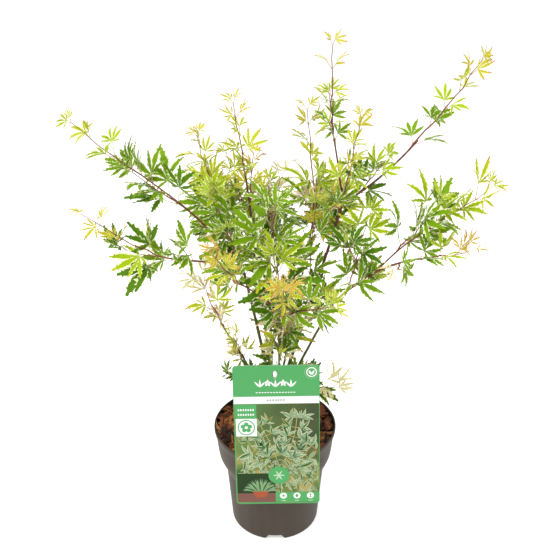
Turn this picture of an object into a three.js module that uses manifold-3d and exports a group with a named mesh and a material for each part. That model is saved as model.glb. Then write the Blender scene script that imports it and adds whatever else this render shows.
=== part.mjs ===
// A young, many-stemmed Japanese maple in its nursery pot, with bark mulch and a plastic picture label.
// Sizes are in millimetres and +Z is up. The origin is the centre of the pot's flat underside,
// the label faces -Y and +X is to its right.
import * as THREE from 'three';
import { mergeVertices } from 'three/addons/utils/BufferGeometryUtils.js';
import Module from 'manifold-3d';

const wasm = await Module();
wasm.setup();

// ---------- driving dimensions ----------

const GAP = 0.3; // clearance between neighbouring pieces
const SEATED = 4; // how far the trunk runs on below the top of the compost before it is cut off flush
const RIGHT_ANGLE = Math.PI / 2;
const AT_END = 0.01; // the first and last share of a length that count as its ends

// The 19 cm nursery pot: a tapered body, a shoulder that steps out, and a tall collar with a plain lip.
const POT = {
  height: 175,
  wall: 2,
  floor: 3,
  footCorner: 1.3,
  sides: 24,
  // radius and height of the outer wall, from the foot to the rim
  outline: [[69.8, 2.5], [77, 98], [79, 104.5], [87, 122], [89.2, 131], [92, 161], [95, 168.5], [95, 175]],
};

// Raised drain channels under the foot, one of them at the front, and round drain holes.
const CHANNEL = {
  count: 3,
  footWidth: 32,
  topWidth: 20,
  height: 9,
  roof: 2,
  innerRadius: 42,
  firstBearing: -90,
};
const DRAIN = { count: 6, radius: 5, onCircle: 52, sides: 6 };

// The compost, and the bark mulch that covers it to just under the rim.
const COMPOST = { bottom: CHANNEL.height + CHANNEL.roof + GAP, top: 146, sides: 24 };
const MULCH = {
  bottom: COMPOST.top + GAP,
  top: 165.5,
  unevenness: 2.2, // how far its humps rise and its hollows sink
  swell: 8, // how far its humps are apart, over 2 pi
  rings: [0, 26, 54],
  sides: 14,
};

// The picture label, a thin plastic card that leans back on the rim, and the white stake that it hangs on.
const CARD = {
  width: 123,
  length: 224,
  thickness: 0.8,
  corner: 5.5,
  centre: [3.2, -90.1, 217],
  lean: 8.1, // degrees back from upright
  roll: 0.9, // degrees anticlockwise, seen from the front
  curveSegments: 4,
};
const EYE = { width: 7.5, length: 12, belowTop: 14, side: -1.5 };
const STAKE = {
  width: 7.5,
  thickness: 2,
  foot: [1, -80.8, 128],
  top: [1, -71.2, 346],
  curveSegments: 5,
};
const PEG = { clearance: 1, proud: 1.2, sides: 8 };

// Limbs are round and tapering, foliage masses are uneven bodies round a leafy shoot.
const LIMB = { sides: 5, steps: 3 };
const MASS = { sides: 8, steps: 6, power: 0.65, archPerWidth: 1 / 8 };
const TRUNK = {
  foot: [4, 5, MULCH.bottom - SEATED],
  top: [-1, 2, 212],
  radius: 6.6,
  topRadius: 5.4,
  flare: 5,
  flareHeight: 16,
  steps: 7,
};

// Woody limbs: name, what each leaves, the share of that limb's length where it leaves, its end,
// how far its middle rises above the straight line, and its diameters at foot and end.
const LIMBS = [
  ['stem_left', 'trunk', 0.94, [-45, 0, 441], 6, 5.3, 3.8],
  ['stem_mid_left', 'trunk', 0.84, [-40, 12, 580], 10, 4.7, 2.5],
  ['stem_right', 'trunk', 0.96, [93, 0, 542], -8, 5.3, 3.6],
  ['stem_centre', 'trunk', 0.88, [61, 42, 536], -6, 3.8, 2.4],
  ['stem_low_right', 'trunk', 0.76, [84, -25, 402], 4, 4.1, 3.3],
  ['stem_low_left', 'trunk', 0.72, [-78, -21, 365], 4, 3.4, 2.4],
  ['stem_back', 'trunk', 0.8, [-12, 60, 410], 14, 4.4, 3.4],
  ['stem_front', 'trunk', 0.66, [10, -58, 400], 12, 4.1, 3.3],
  ['bough_left_high', 'stem_left', 1, [-128, -7, 543], 6, 3.4, 2.7],
  ['bough_left_mid', 'stem_left', 0.96, [-122, -33, 470], 6, 3.1, 2.4],
  ['bough_top_left', 'stem_mid_left', 0.64, [-84, 25, 546], 4, 2.4, 1.9],
  ['leader', 'stem_right', 1, [78, 0, 632], 4, 2.8, 2.1],
  ['bough_right_high', 'stem_right', 1, [190, 6, 628], -8, 3.4, 2.5],
  ['bough_right_low', 'stem_low_right', 1, [195, -65, 488], 14, 3.3, 2.4],
  ['bough_right_mid', 'bough_right_low', 0.48, [174, -46, 499], 2, 2.4, 2.1],
  ['bough_back_left', 'stem_back', 1, [-78, 130, 452], 6, 3, 2.4],
  ['bough_back_right', 'stem_back', 0.92, [62, 130, 446], 8, 3, 2.4],
  ['bough_front_left', 'stem_front', 1, [-50, -94, 468], 4, 2.7, 2.1],
  ['bough_front_right', 'stem_front', 0.94, [46, -98, 428], 4, 2.7, 2.1],
];

// Foliage masses: name, the limb that carries each, the share of its length where the leaves start,
// the tip of the shoot, how far leaves reach from it, where it is widest, its flatness, and its tint.
const FOLIAGE = [
  ['left_high_outer', 'bough_left_high', 1, [-275, -30, 676], 30, 0.6, 0.8, 'fresh', 0.46],
  ['left_high_inner', 'bough_left_high', 0.86, [-222, -14, 618], 42, 0.48, 0.8, 'green'],
  ['left_mid_outer', 'bough_left_mid', 1, [-267, -62, 558], 20, 0.6, 0.7, 'young', 0.4],
  ['left_mid_inner', 'bough_left_mid', 0.86, [-240, -50, 500], 40, 0.5, 0.75, 'green'],
  ['left_low', 'stem_low_left', 0.9, [-112, -30, 467], 30, 0.5, 0.9, 'cream'],
  ['left_foot', 'stem_low_left', 0.5, [-64, -44, 372], 22, 0.55, 0.8, 'cream'],
  ['top_left_a', 'bough_top_left', 0.86, [-111, 30, 646], 24, 0.5, 1, 'young'],
  ['top_left_tall', 'stem_mid_left', 0.96, [-56, 0, 696], 29, 0.55, 1, 'fresh'],
  ['top_left_b', 'stem_mid_left', 0.7, [-76, 78, 612], 34, 0.6, 0.9, 'fresh'],
  ['top_left_c', 'stem_mid_left', 0.86, [-28, 58, 612], 20, 0.6, 1, 'young'],
  ['leader_tip', 'leader', 1, [72, 0, 775], 18, 0.68, 1, 'young', 0.42],
  ['leader_middle', 'leader', 0.86, [68, 0, 712], 32, 0.5, 1, 'fresh'],
  ['top_centre_a', 'stem_centre', 0.9, [42, 42, 684], 27, 0.55, 1, 'fresh'],
  ['top_centre_b', 'stem_right', 0.94, [113, -32, 687], 29, 0.55, 1, 'young'],
  ['right_high_outer', 'bough_right_high', 0.86, [279, 22, 745], 34, 0.45, 0.75, 'fresh'],
  ['right_high_inner', 'bough_right_high', 0.14, [166, 5, 622], 27, 0.5, 0.9, 'green'],
  ['right_mid_outer', 'bough_right_mid', 1, [295, -62, 602], 33, 0.5, 0.8, 'fresh', 0.36],
  ['right_mid_inner', 'bough_right_mid', 0.7, [236, -48, 588], 38, 0.5, 0.85, 'green'],
  ['right_low_outer', 'bough_right_low', 0.9, [276, -86, 513], 24, 0.5, 0.75, 'young'],
  ['right_low_drop', 'bough_right_low', 0.74, [166, -78, 446], 24, 0.55, 0.9, 'green'],
  ['right_inner', 'bough_right_low', 0.1, [140, 8, 556], 48, 0.5, 0.9, 'green'],
  ['front_centre', 'stem_front', 0.96, [13, -192, 520], 38, 0.55, 0.85, 'young'],
  ['front_left', 'bough_front_left', 0.84, [-84, -150, 544], 30, 0.5, 0.9, 'young'],
  ['front_right', 'bough_front_right', 0.84, [88, -152, 466], 34, 0.5, 0.85, 'fresh'],
  ['heart_front', 'stem_front', 0.86, [-8, -50, 592], 50, 0.55, 0.9, 'green'],
  ['heart_left', 'stem_left', 0.9, [-94, -4, 588], 44, 0.5, 0.9, 'green'],
  ['heart_right', 'stem_right', 0.46, [60, 10, 604], 45, 0.5, 0.9, 'green'],
  ['heart_back', 'stem_back', 0.92, [12, 84, 584], 50, 0.55, 0.9, 'green'],
  ['lower_middle', 'stem_front', 0.42, [28, -22, 424], 44, 0.5, 0.9, 'cream'],
  ['lower_back', 'stem_back', 0.42, [34, 84, 402], 36, 0.6, 0.9, 'cream'],
  ['back_left', 'bough_back_left', 0.84, [-136, 222, 506], 46, 0.5, 0.75, 'green'],
  ['back_centre', 'stem_back', 0.97, [-8, 246, 508], 46, 0.58, 0.75, 'green'],
  ['back_right', 'bough_back_right', 0.84, [136, 220, 498], 46, 0.5, 0.75, 'green'],
  ['rim_sprig', 'stem_low_right', 0.22, [120, -48, 272], 26, 0.7, 0.8, 'cream'],
  ['left_sprig', 'stem_low_left', 0.3, [-84, -42, 298], 15, 0.66, 0.8, 'cream'],
];

const COLOURS = {
  pot: '#6f6c64',
  compost: '#2e2119',
  mulch: '#5a3420',
  card: '#62b670',
  stake: '#efeee8',
  bark: '#6a4a30',
  shoot: '#6b3a24',
  green: '#5f8f1e',
  fresh: '#8fae34',
  young: '#c2b044',
  cream: '#c8cc8c',
};

// ---------- making and cutting solids ----------

// A geometry whose faces share their corners.
function welded(geometry) {
  const bare = geometry.clone();
  bare.deleteAttribute('normal');
  bare.deleteAttribute('uv');
  return mergeVertices(bare, 1e-4);
}

// A geometry as a solid that can be joined and cut.
function solidOf(geometry) {
  const closed = welded(geometry);
  return new wasm.Manifold(new wasm.Mesh({
    numProp: 3,
    vertProperties: closed.attributes.position.array,
    triVerts: new Uint32Array(closed.index.array),
  }));
}

// A solid as a geometry with flat-shaded faces.
function geometryOf(solid) {
  const mesh = solid.getMesh();
  const geometry = new THREE.BufferGeometry();
  geometry.setAttribute('position', new THREE.BufferAttribute(mesh.vertProperties, mesh.numProp));
  geometry.setIndex(new THREE.BufferAttribute(mesh.triVerts, 1));
  const flat = geometry.toNonIndexed();
  flat.computeVertexNormals();
  return flat;
}

// The largest of the pieces that a cut leaves.
function largestPiece(solid) {
  return solid.decompose().reduce((best, piece) => (piece.volume() > best.volume() ? piece : best));
}

function finish(colour, roughness) {
  return new THREE.MeshStandardMaterial({ color: colour, roughness, metalness: 0 });
}

const vector = (place) => new THREE.Vector3(...place);
const radians = THREE.MathUtils.degToRad;
const tree = new THREE.Group();

function addPiece(name, geometry, colour, roughness) {
  const mesh = new THREE.Mesh(geometry, finish(colour, roughness));
  mesh.name = name;
  tree.add(mesh);
  return mesh;
}

// ---------- pot ----------

// A body turned about the Z axis from a half outline of [radius, height] points.
function turned(outline, sides = POT.sides) {
  const points = outline.map(([radius, height]) => new THREE.Vector2(radius, height));
  return new THREE.LatheGeometry(points, sides).rotateX(RIGHT_ANGLE);
}

// The radius inside the pot's wall at a height.
function insideRadius(height) {
  const outline = POT.outline;
  const upper = outline.findIndex(([, top]) => top >= height);
  if (upper <= 0) return outline[0][0] - POT.wall;
  const [lowRadius, low] = outline[upper - 1];
  const [highRadius, high] = outline[upper];
  return lowRadius + ((highRadius - lowRadius) * (height - low)) / (high - low) - POT.wall;
}

// The radius of a filling that clears the flats of the pot's faceted wall at a height.
function fillingRadius(height) {
  return insideRadius(height) * Math.cos(Math.PI / POT.sides) - GAP;
}

// A bar with a trapezium section that lies on the floor and runs outwards along a bearing.
function channelBar(footWidth, topWidth, height, start, bearing) {
  const section = new THREE.Shape();
  section.moveTo(-footWidth / 2, -1);
  section.lineTo(footWidth / 2, -1);
  section.lineTo(footWidth / 2, 0);
  section.lineTo(topWidth / 2, height);
  section.lineTo(-topWidth / 2, height);
  section.lineTo(-footWidth / 2, 0);
  const bar = new THREE.ExtrudeGeometry(section, { depth: POT.height, bevelEnabled: false });
  bar.rotateX(RIGHT_ANGLE).rotateZ(Math.PI).translate(0, start, 0).rotateZ(radians(bearing - 90));
  return solidOf(bar);
}

function makePot() {
  const outside = [[0, 0], [POT.outline[0][0] - POT.footCorner, 0], ...POT.outline, [0, POT.height]];
  const footInside = insideRadius(0);
  const inside = [[0, POT.floor], [footInside - POT.wall, POT.floor], [footInside, POT.floor + POT.wall]];
  for (const [, height] of POT.outline.slice(1)) inside.push([insideRadius(height), height]);
  inside.push([insideRadius(POT.height), POT.height + 1], [0, POT.height + 1]);

  const body = solidOf(turned(outside));
  let pot = body.subtract(solidOf(turned(inside)));
  const { count, footWidth, topWidth, height, roof, innerRadius, firstBearing } = CHANNEL;
  const bearings = Array.from({ length: count }, (_, i) => firstBearing + (i * 360) / count);
  for (const bearing of bearings) {
    const [foot, top] = [footWidth + 2 * roof, topWidth + 2 * roof];
    const cover = channelBar(foot, top, height + roof, innerRadius - roof, bearing);
    pot = pot.add(cover.intersect(body));
  }
  for (const bearing of bearings) {
    pot = pot.subtract(channelBar(footWidth, topWidth, height, innerRadius, bearing));
  }
  for (let i = 0; i < DRAIN.count; i += 1) {
    const bearing = radians(CHANNEL.firstBearing + (i * 360) / DRAIN.count);
    const hole = new THREE.CylinderGeometry(DRAIN.radius, DRAIN.radius, POT.height / 2, DRAIN.sides);
    hole.rotateX(RIGHT_ANGLE);
    hole.translate(DRAIN.onCircle * Math.cos(bearing), DRAIN.onCircle * Math.sin(bearing), 0);
    pot = pot.subtract(solidOf(hole));
  }
  return pot;
}

// ---------- compost and mulch ----------

function makeCompost() {
  const heights = [COMPOST.bottom, ...POT.outline.map(([, height]) => height), COMPOST.top];
  const within = heights.filter((height) => height >= COMPOST.bottom && height <= COMPOST.top);
  const wall = within.map((height) => [fillingRadius(height), height]);
  return solidOf(turned([[0, COMPOST.bottom], ...wall, [0, COMPOST.top]], COMPOST.sides));
}

// A disc of bark whose top rises and falls by a few millimetres.
function makeMulch() {
  const reach = fillingRadius(MULCH.bottom);
  const top = [...MULCH.rings.slice(1), reach].map((radius) => [radius, MULCH.top]).reverse();
  const disc = turned([[0, MULCH.bottom], [reach, MULCH.bottom], ...top, [0, MULCH.top]], MULCH.sides);
  const places = disc.attributes.position;
  for (let i = 0; i < places.count; i += 1) {
    const x = places.getX(i);
    const y = places.getY(i);
    const wave = Math.sin(x / MULCH.swell + 1) * Math.cos(y / MULCH.swell);
    if (places.getZ(i) > MULCH.bottom + 1) places.setZ(i, MULCH.top + MULCH.unevenness * wave);
  }
  return solidOf(disc);
}

// ---------- label and stake ----------

function cardOutline() {
  const { width, length, corner } = CARD;
  const [right, up] = [width / 2, length / 2];
  const shape = new THREE.Shape();
  shape.moveTo(-right + corner, -up);
  shape.lineTo(right - corner, -up);
  shape.absarc(right - corner, -up + corner, corner, -RIGHT_ANGLE, 0);
  shape.absarc(right - corner, up - corner, corner, 0, RIGHT_ANGLE);
  shape.absarc(-right + corner, up - corner, corner, RIGHT_ANGLE, Math.PI);
  shape.absarc(-right + corner, -up + corner, corner, Math.PI, 3 * RIGHT_ANGLE);
  const eye = new THREE.Path();
  eye.absellipse(EYE.side, up - EYE.belowTop, EYE.width / 2, EYE.length / 2, 0, 2 * Math.PI, true);
  shape.holes.push(eye);
  return shape;
}

// The card in its own upright plane; the mesh's rotation leans it back on the rim.
function makeCard() {
  const plate = new THREE.ExtrudeGeometry(cardOutline(), {
    depth: CARD.thickness,
    bevelEnabled: false,
    curveSegments: CARD.curveSegments,
  });
  return plate.translate(0, 0, -CARD.thickness / 2);
}

function cardPlace(mesh) {
  mesh.position.set(...CARD.centre);
  mesh.rotation.set(radians(90 - CARD.lean), 0, radians(CARD.roll));
  mesh.updateMatrixWorld();
  return mesh;
}

// A flat white stake with a rounded head, and the peg on it that fills the card's eye.
function makeStake(card, grow = 0) {
  const foot = vector(STAKE.foot);
  const top = vector(STAKE.top);
  const length = foot.distanceTo(top);
  const half = STAKE.width / 2 + grow;
  const face = new THREE.Shape();
  face.moveTo(-half, -grow);
  face.lineTo(half, -grow);
  face.lineTo(half, length - half);
  face.absellipse(0, length - half, half, half + grow, 0, Math.PI);
  const thickness = STAKE.thickness + 2 * grow;
  const blade = new THREE.ExtrudeGeometry(face, {
    depth: thickness,
    bevelEnabled: false,
    curveSegments: STAKE.curveSegments,
  });
  blade.translate(0, 0, -thickness / 2).rotateX(RIGHT_ANGLE);
  const upright = new THREE.Vector3(0, 0, 1);
  const lean = new THREE.Quaternion().setFromUnitVectors(upright, top.clone().sub(foot).normalize());
  blade.applyQuaternion(lean).translate(...STAKE.foot);

  const depth = 2 * STAKE.thickness + PEG.proud;
  const peg = new THREE.CylinderGeometry(1, 1, depth, PEG.sides).rotateX(RIGHT_ANGLE);
  peg.scale(EYE.width / 2 - PEG.clearance, EYE.length / 2 - PEG.clearance, 1);
  const pegHeight = CARD.length / 2 - EYE.belowTop + PEG.clearance - GAP;
  peg.translate(EYE.side, pegHeight, PEG.proud - depth / 2);
  peg.applyMatrix4(card.matrixWorld);
  return solidOf(blade).add(solidOf(peg));
}

// ---------- limbs ----------

// Side and up directions that stay square to a limb or shoot along its whole length.
function frameAlong(curve, share) {
  const chord = curve.getPoint(1).sub(curve.getPoint(0));
  const side = new THREE.Vector3(-chord.y, chord.x, 0);
  if (side.length() < 1e-3 * chord.length()) side.set(1, 0, 0);
  side.normalize();
  const along = curve.getTangent(share);
  const up = along.clone().cross(side).normalize();
  return { side: up.clone().cross(along).normalize(), up, along };
}

// An arched line from one place to another, its middle raised by the rise.
function archedLine(start, end, rise) {
  const middle = start.clone().lerp(end, 0.5).add(new THREE.Vector3(0, 0, 2 * rise));
  return new THREE.QuadraticBezierCurve3(start, middle, end);
}

// How far an end is pushed out along its curve, so that a grown body clears it there too.
function endGrowth(share, grow) {
  return share < AT_END || share > 1 - AT_END ? grow * Math.sign(share - 0.5) : 0;
}

// A round body that follows a curve, as thick at each share of its length as radiusAt says.
function limbSolid(curve, radiusAt, grow = 0, steps = LIMB.steps) {
  const body = welded(new THREE.CylinderGeometry(1, 1, 1, LIMB.sides, steps).rotateX(RIGHT_ANGLE));
  const places = body.attributes.position;
  for (let i = 0; i < places.count; i += 1) {
    const share = places.getZ(i) + 0.5;
    const { side, up, along } = frameAlong(curve, share);
    const radius = radiusAt(share) + grow;
    const place = curve.getPoint(share).addScaledVector(along, endGrowth(share, grow));
    place.addScaledVector(side, places.getX(i) * radius).addScaledVector(up, places.getY(i) * radius);
    places.setXYZ(i, place.x, place.y, place.z);
  }
  return solidOf(body);
}

function trunkRadius(share) {
  const height = share * (TRUNK.top[2] - TRUNK.foot[2]);
  const stem = THREE.MathUtils.lerp(TRUNK.radius, TRUNK.topRadius, share);
  return stem + TRUNK.flare * Math.exp(-height / TRUNK.flareHeight);
}

// ---------- foliage ----------

// How far the leaves reach at a share of the shoot's length: nothing at both ends, most at the belly.
function reachAt(share, belly) {
  const warped = share ** (Math.log(0.5) / Math.log(belly));
  return Math.sin(Math.PI * warped) ** MASS.power;
}

// Sprays of leaves make the surface swell and sink round the shoot and along it.
function unevenAt(share, angle, seed) {
  const round = 0.14 * Math.sin(2 * angle + seed + 5 * share) + 0.13 * Math.sin(3 * angle - 2 * seed);
  return 0.96 + round + 0.1 * Math.sin(11 * share + seed);
}

function massSolid(curve, width, belly, flat, seed, grow = 0) {
  const body = welded(new THREE.SphereGeometry(1, MASS.sides, MASS.steps).rotateX(RIGHT_ANGLE));
  const places = body.attributes.position;
  for (let i = 0; i < places.count; i += 1) {
    const [x, y, z] = [places.getX(i), places.getY(i), places.getZ(i)];
    const share = 1 - Math.acos(THREE.MathUtils.clamp(z, -1, 1)) / Math.PI;
    const angle = Math.atan2(y, x);
    const atPole = share < AT_END || share > 1 - AT_END;
    const reach = atPole ? 0 : width * reachAt(share, belly) * unevenAt(share, angle, seed) + grow;
    const { side, up, along } = frameAlong(curve, share);
    const place = curve.getPoint(share).addScaledVector(along, endGrowth(share, grow));
    place.addScaledVector(side, reach * Math.cos(angle)).addScaledVector(up, reach * flat * Math.sin(angle));
    places.setXYZ(i, place.x, place.y, place.z);
  }
  return solidOf(body);
}

// ---------- assembly ----------

addPiece('pot', geometryOf(makePot()), COLOURS.pot, 0.5);
const card = cardPlace(addPiece('label_card', makeCard(), COLOURS.card, 0.3));
const stake = makeStake(card);
addPiece('label_stake', geometryOf(stake), COLOURS.stake, 0.4);

const curves = new Map();
const trunkCurve = archedLine(vector(TRUNK.foot), vector(TRUNK.top), 0);
curves.set('trunk', trunkCurve);
const groundSize = 4 * TRUNK.flareHeight;
const groundHeight = MULCH.bottom + GAP - groundSize / 2;
const ground = new THREE.BoxGeometry(groundSize, groundSize, groundSize).translate(0, 0, groundHeight);
const trunk = limbSolid(trunkCurve, trunkRadius, 0, TRUNK.steps).subtract(solidOf(ground));
addPiece('trunk', geometryOf(trunk), COLOURS.bark, 0.8);

const grownTrunk = limbSolid(trunkCurve, trunkRadius, GAP, TRUNK.steps);
const grownStake = makeStake(card, GAP);
const compost = makeCompost().subtract(grownStake);
addPiece('compost', geometryOf(compost), COLOURS.compost, 0.95);
const mulch = makeMulch().subtract(grownTrunk).subtract(grownStake);
addPiece('bark_mulch', geometryOf(largestPiece(mulch)), COLOURS.mulch, 0.9);

// Each limb is cut back from what was there before it, and so is each mass of leaves.
let taken = grownTrunk.add(grownStake);

for (const [name, parent, share, end, rise, footDiameter, endDiameter] of LIMBS) {
  const curve = archedLine(curves.get(parent).getPoint(share), vector(end), rise);
  const radiusAt = (place) => THREE.MathUtils.lerp(footDiameter, endDiameter, place) / 2;
  curves.set(name, curve);
  addPiece(name, geometryOf(largestPiece(limbSolid(curve, radiusAt).subtract(taken))), COLOURS.shoot, 0.7);
  taken = taken.add(limbSolid(curve, radiusAt, GAP));
}

FOLIAGE.forEach(([name, carrier, share, tip, width, belly, flat, tint, skip = 0], number) => {
  const foot = curves.get(carrier).getPoint(share).lerp(vector(tip), skip);
  const curve = archedLine(foot, vector(tip), width * MASS.archPerWidth);
  const solid = massSolid(curve, width, belly, flat, number);
  addPiece(`leaves_${name}`, geometryOf(largestPiece(solid.subtract(taken))), COLOURS[tint], 0.6);
  taken = taken.add(massSolid(curve, width, belly, flat, number, GAP));
});

export default tree;
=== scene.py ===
import math

import bpy
import numpy as np
from mathutils import Euler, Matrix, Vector, noise


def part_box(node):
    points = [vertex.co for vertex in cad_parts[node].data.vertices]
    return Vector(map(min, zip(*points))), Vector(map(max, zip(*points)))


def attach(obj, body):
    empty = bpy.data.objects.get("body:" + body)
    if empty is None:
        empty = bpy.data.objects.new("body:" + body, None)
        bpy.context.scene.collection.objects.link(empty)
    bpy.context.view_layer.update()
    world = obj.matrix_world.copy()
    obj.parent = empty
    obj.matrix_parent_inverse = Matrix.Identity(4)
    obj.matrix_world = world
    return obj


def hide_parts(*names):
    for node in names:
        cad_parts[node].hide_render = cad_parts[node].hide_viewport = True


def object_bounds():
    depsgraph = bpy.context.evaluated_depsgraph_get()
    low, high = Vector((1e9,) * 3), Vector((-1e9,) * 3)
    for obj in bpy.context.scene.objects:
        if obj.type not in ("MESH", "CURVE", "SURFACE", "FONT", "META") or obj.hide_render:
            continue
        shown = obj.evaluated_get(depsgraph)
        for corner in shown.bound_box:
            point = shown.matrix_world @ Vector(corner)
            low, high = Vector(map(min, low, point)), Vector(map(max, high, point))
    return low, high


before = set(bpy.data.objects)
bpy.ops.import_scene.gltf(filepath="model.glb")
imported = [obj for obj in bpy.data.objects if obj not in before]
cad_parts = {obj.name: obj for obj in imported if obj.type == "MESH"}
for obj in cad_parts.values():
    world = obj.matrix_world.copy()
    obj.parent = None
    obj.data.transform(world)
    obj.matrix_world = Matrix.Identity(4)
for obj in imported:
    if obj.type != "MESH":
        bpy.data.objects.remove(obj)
cad_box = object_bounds()

# ---------- camera, floor and light ----------
# A plain white studio floor that runs out of view, with three broad soft lamps and an even white sky.
# The camera stands a metre in front of the pot and higher than the plant, and looks down on it.

MM = 0.001
CAMERA_PLACE = (2.4 * MM, -1026 * MM, 932 * MM)
CAMERA_PITCH = 26.08  # degrees below level
CAMERA_LENS = 52.08  # millimetres, like the sensor's width
CAMERA_SENSOR = 36
FLOOR_HALF = 20.0
FLOOR_DROP = 0.3 * MM
BOARD_GRAIN = 100 * MM
TABLE_GLOW = 0.42  # a light table, so only contact shadows show
SKY_LIGHT = 0.64
# Each lamp: place, width, watts. All of them face the middle of the plant.
LAMPS = {
    "key_lamp": ((-1.1, -1.6, 2.4), 1.4, 40),
    "top_lamp": ((0.6, -0.7, 2.8), 1.6, 20),
    "back_lamp": ((0.4, 1.9, 1.9), 1.4, 9),
}

scene = bpy.context.scene
scene.view_settings.view_transform = "Standard"
lens = bpy.data.cameras.new("camera")
lens.lens = CAMERA_LENS
lens.sensor_width = CAMERA_SENSOR
lens.clip_start = 10 * MM
camera = bpy.data.objects.new("camera", lens)
camera.location = CAMERA_PLACE
camera.rotation_euler = (math.radians(90 - CAMERA_PITCH), 0, 0)
scene.collection.objects.link(camera)
scene.camera = camera


def colour(code):
    """An sRGB hex value as the linear colour that a shader takes."""
    parts = [int(code[i:i + 2], 16) / 255 for i in (1, 3, 5)]
    linear = [part / 12.92 if part <= 0.04045 else ((part + 0.055) / 1.055) ** 2.4 for part in parts]
    return (*linear, 1.0)


def new_material(name, base, roughness, ior=1.45, sockets=None):
    """A material with one Principled shader, and that shader. Sockets are further values for it."""
    material = bpy.data.materials.new(name)
    material.use_nodes = True
    material.diffuse_color = colour(base)
    shader = material.node_tree.nodes["Principled BSDF"]
    values = {"Base Color": colour(base), "Roughness": roughness, "IOR": ior, **(sockets or {})}
    for socket, value in values.items():
        shader.inputs[socket].default_value = value
    return material, shader


def add(material, kind, settings=None, links=None):
    """Adds a node with its settings and links. A ramp's stops are pairs of a place and a hex colour."""
    node = material.node_tree.nodes.new(kind)
    for name, value in (settings or {}).items():
        if name == "stops":
            ramp = node.color_ramp
            while len(ramp.elements) < len(value):
                ramp.elements.new(0.5)
            for element, (place, code) in zip(ramp.elements, value):
                element.position = place
                element.color = colour(code)
        elif isinstance(name, int) or name in node.inputs:
            node.inputs[name].default_value = value
        else:
            setattr(node, name, value)
    for name, source in (links or {}).items():
        material.node_tree.links.new(source, node.inputs[name])
    return node


def join(material, source, socket):
    material.node_tree.links.new(source, socket)


def make_piece(name, points, faces, materials, slots=None, smooth=True):
    """One mesh object of the points and faces, each face in the material slot given."""
    mesh = bpy.data.meshes.new(name)
    mesh.from_pydata([tuple(point) for point in points], [], [tuple(face) for face in faces])
    for material in materials:
        mesh.materials.append(material)
    if slots is not None:
        mesh.polygons.foreach_set("material_index", np.asarray(slots, dtype=np.int32))
    mesh.polygons.foreach_set("use_smooth", np.full(len(mesh.polygons), smooth))
    mesh.update()
    piece = bpy.data.objects.new(name, mesh)
    scene.collection.objects.link(piece)
    return piece


# Painted board: matt and very pale, with a grain that only takes the hardness off its reflections.
# The grain's own coordinates run from 0 to 1 over the whole floor.
board_light = {"Emission Color": colour("#ffffff"), "Emission Strength": TABLE_GLOW}
painted_board, board_shader = new_material("painted_board", "#fcfcfa", 0.75, 1.5, board_light)
board_grain = add(painted_board, "ShaderNodeTexNoise", {"Scale": 2 * FLOOR_HALF / BOARD_GRAIN, "Detail": 3.0})
board_relief = {"Strength": 0.05, "Distance": 0.2 * MM}
board_bump = add(painted_board, "ShaderNodeBump", board_relief, {"Height": board_grain.outputs["Fac"]})
join(painted_board, board_bump.outputs["Normal"], board_shader.inputs["Normal"])

corners = [(-1, -1), (1, -1), (1, 1), (-1, 1)]
floor_points = [(FLOOR_HALF * x, FLOOR_HALF * y, -FLOOR_DROP) for x, y in corners]
make_piece("floor", floor_points, [(0, 1, 2, 3)], [painted_board])

sky = bpy.data.worlds.new("white_sky")
sky.use_nodes = True
sky.node_tree.nodes["Background"].inputs["Color"].default_value = (1, 1, 1, 1)
sky.node_tree.nodes["Background"].inputs["Strength"].default_value = SKY_LIGHT
scene.world = sky

plant_middle = (cad_box[0] + cad_box[1]) / 2
for name, (place, size, watts) in LAMPS.items():
    lamp = bpy.data.lights.new(name, "AREA")
    lamp.shape = "DISK"
    lamp.size = size
    lamp.energy = watts
    lamp_object = bpy.data.objects.new(name, lamp)
    lamp_object.location = place
    lamp_object.rotation_euler = (plant_middle - Vector(place)).to_track_quat("-Z", "Y").to_euler()
    scene.collection.objects.link(lamp_object)

# ---------- pot ----------
# A 19 cm nursery pot of recycled polypropylene, injection moulded in one shot.
# It has a tapered body, a shoulder, a tall collar, drain channels under its foot and holes in its floor.

pot_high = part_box("pot")[1]
POT_HEIGHT = pot_high.z
POT_WALL = 2 * MM
POT_FLOOR = 3 * MM
POT_SIDES = 144
# Radius and height of the outer wall in millimetres, from the foot to the rim.
POT_OUTLINE = [
    (67.2, 0), (69.6, 0.6), (70, 3.5), (77, 98), (79.2, 105), (86.6, 121), (89.2, 131),
    (92, 161), (94.8, 168.5), (95, 173.6), (94.6, 174.8), (94, 175),
]
RIM_ROUND = (0.6 * MM, 0.4 * MM)  # across and down, at the rim's inner edge
# The inside's painted shade and stain start this far below the rim.
SHADE_AND_STAIN_BELOW_RIM = 0.7 * MM
SHARP_EDGE = 35  # degrees, so that bends are smooth and cut edges are crisp
CHANNEL_WIDTHS = (32 * MM, 20 * MM)  # at the foot, and at its top
CHANNEL_HEIGHT = 9 * MM
CHANNEL_SPAN = (42 * MM, 136 * MM)  # from the pot's axis, and on past its wall
CHANNEL_BEARINGS = (-90, 30, 150)
DRAIN_RADIUS = 5 * MM
DRAIN_CIRCLE = 52 * MM
DRAIN_COUNT = 6
DRAIN_SIDES = 24
FLOW_MARKS = (16.667 * MM, 16.667 * MM, 111.11 * MM)  # drawn out up the wall
SPARK_PITS = 0.7143 * MM  # coarser than life, so that they can show
DAMP_STAINS = 8.333 * MM


def cut_corners(points, rounds, share=0.25):
    """The same open outline with its corners cut, again and again, into smooth bends."""
    line = np.array(points, dtype=float)
    for _ in range(rounds):
        before = line[:-1] * (1 - share) + line[1:] * share
        after = line[:-1] * share + line[1:] * (1 - share)
        between = np.stack([before, after], axis=1).reshape(-1, line.shape[1])
        line = np.vstack([line[:1], between[1:-1], line[-1:]])
    return line


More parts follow.
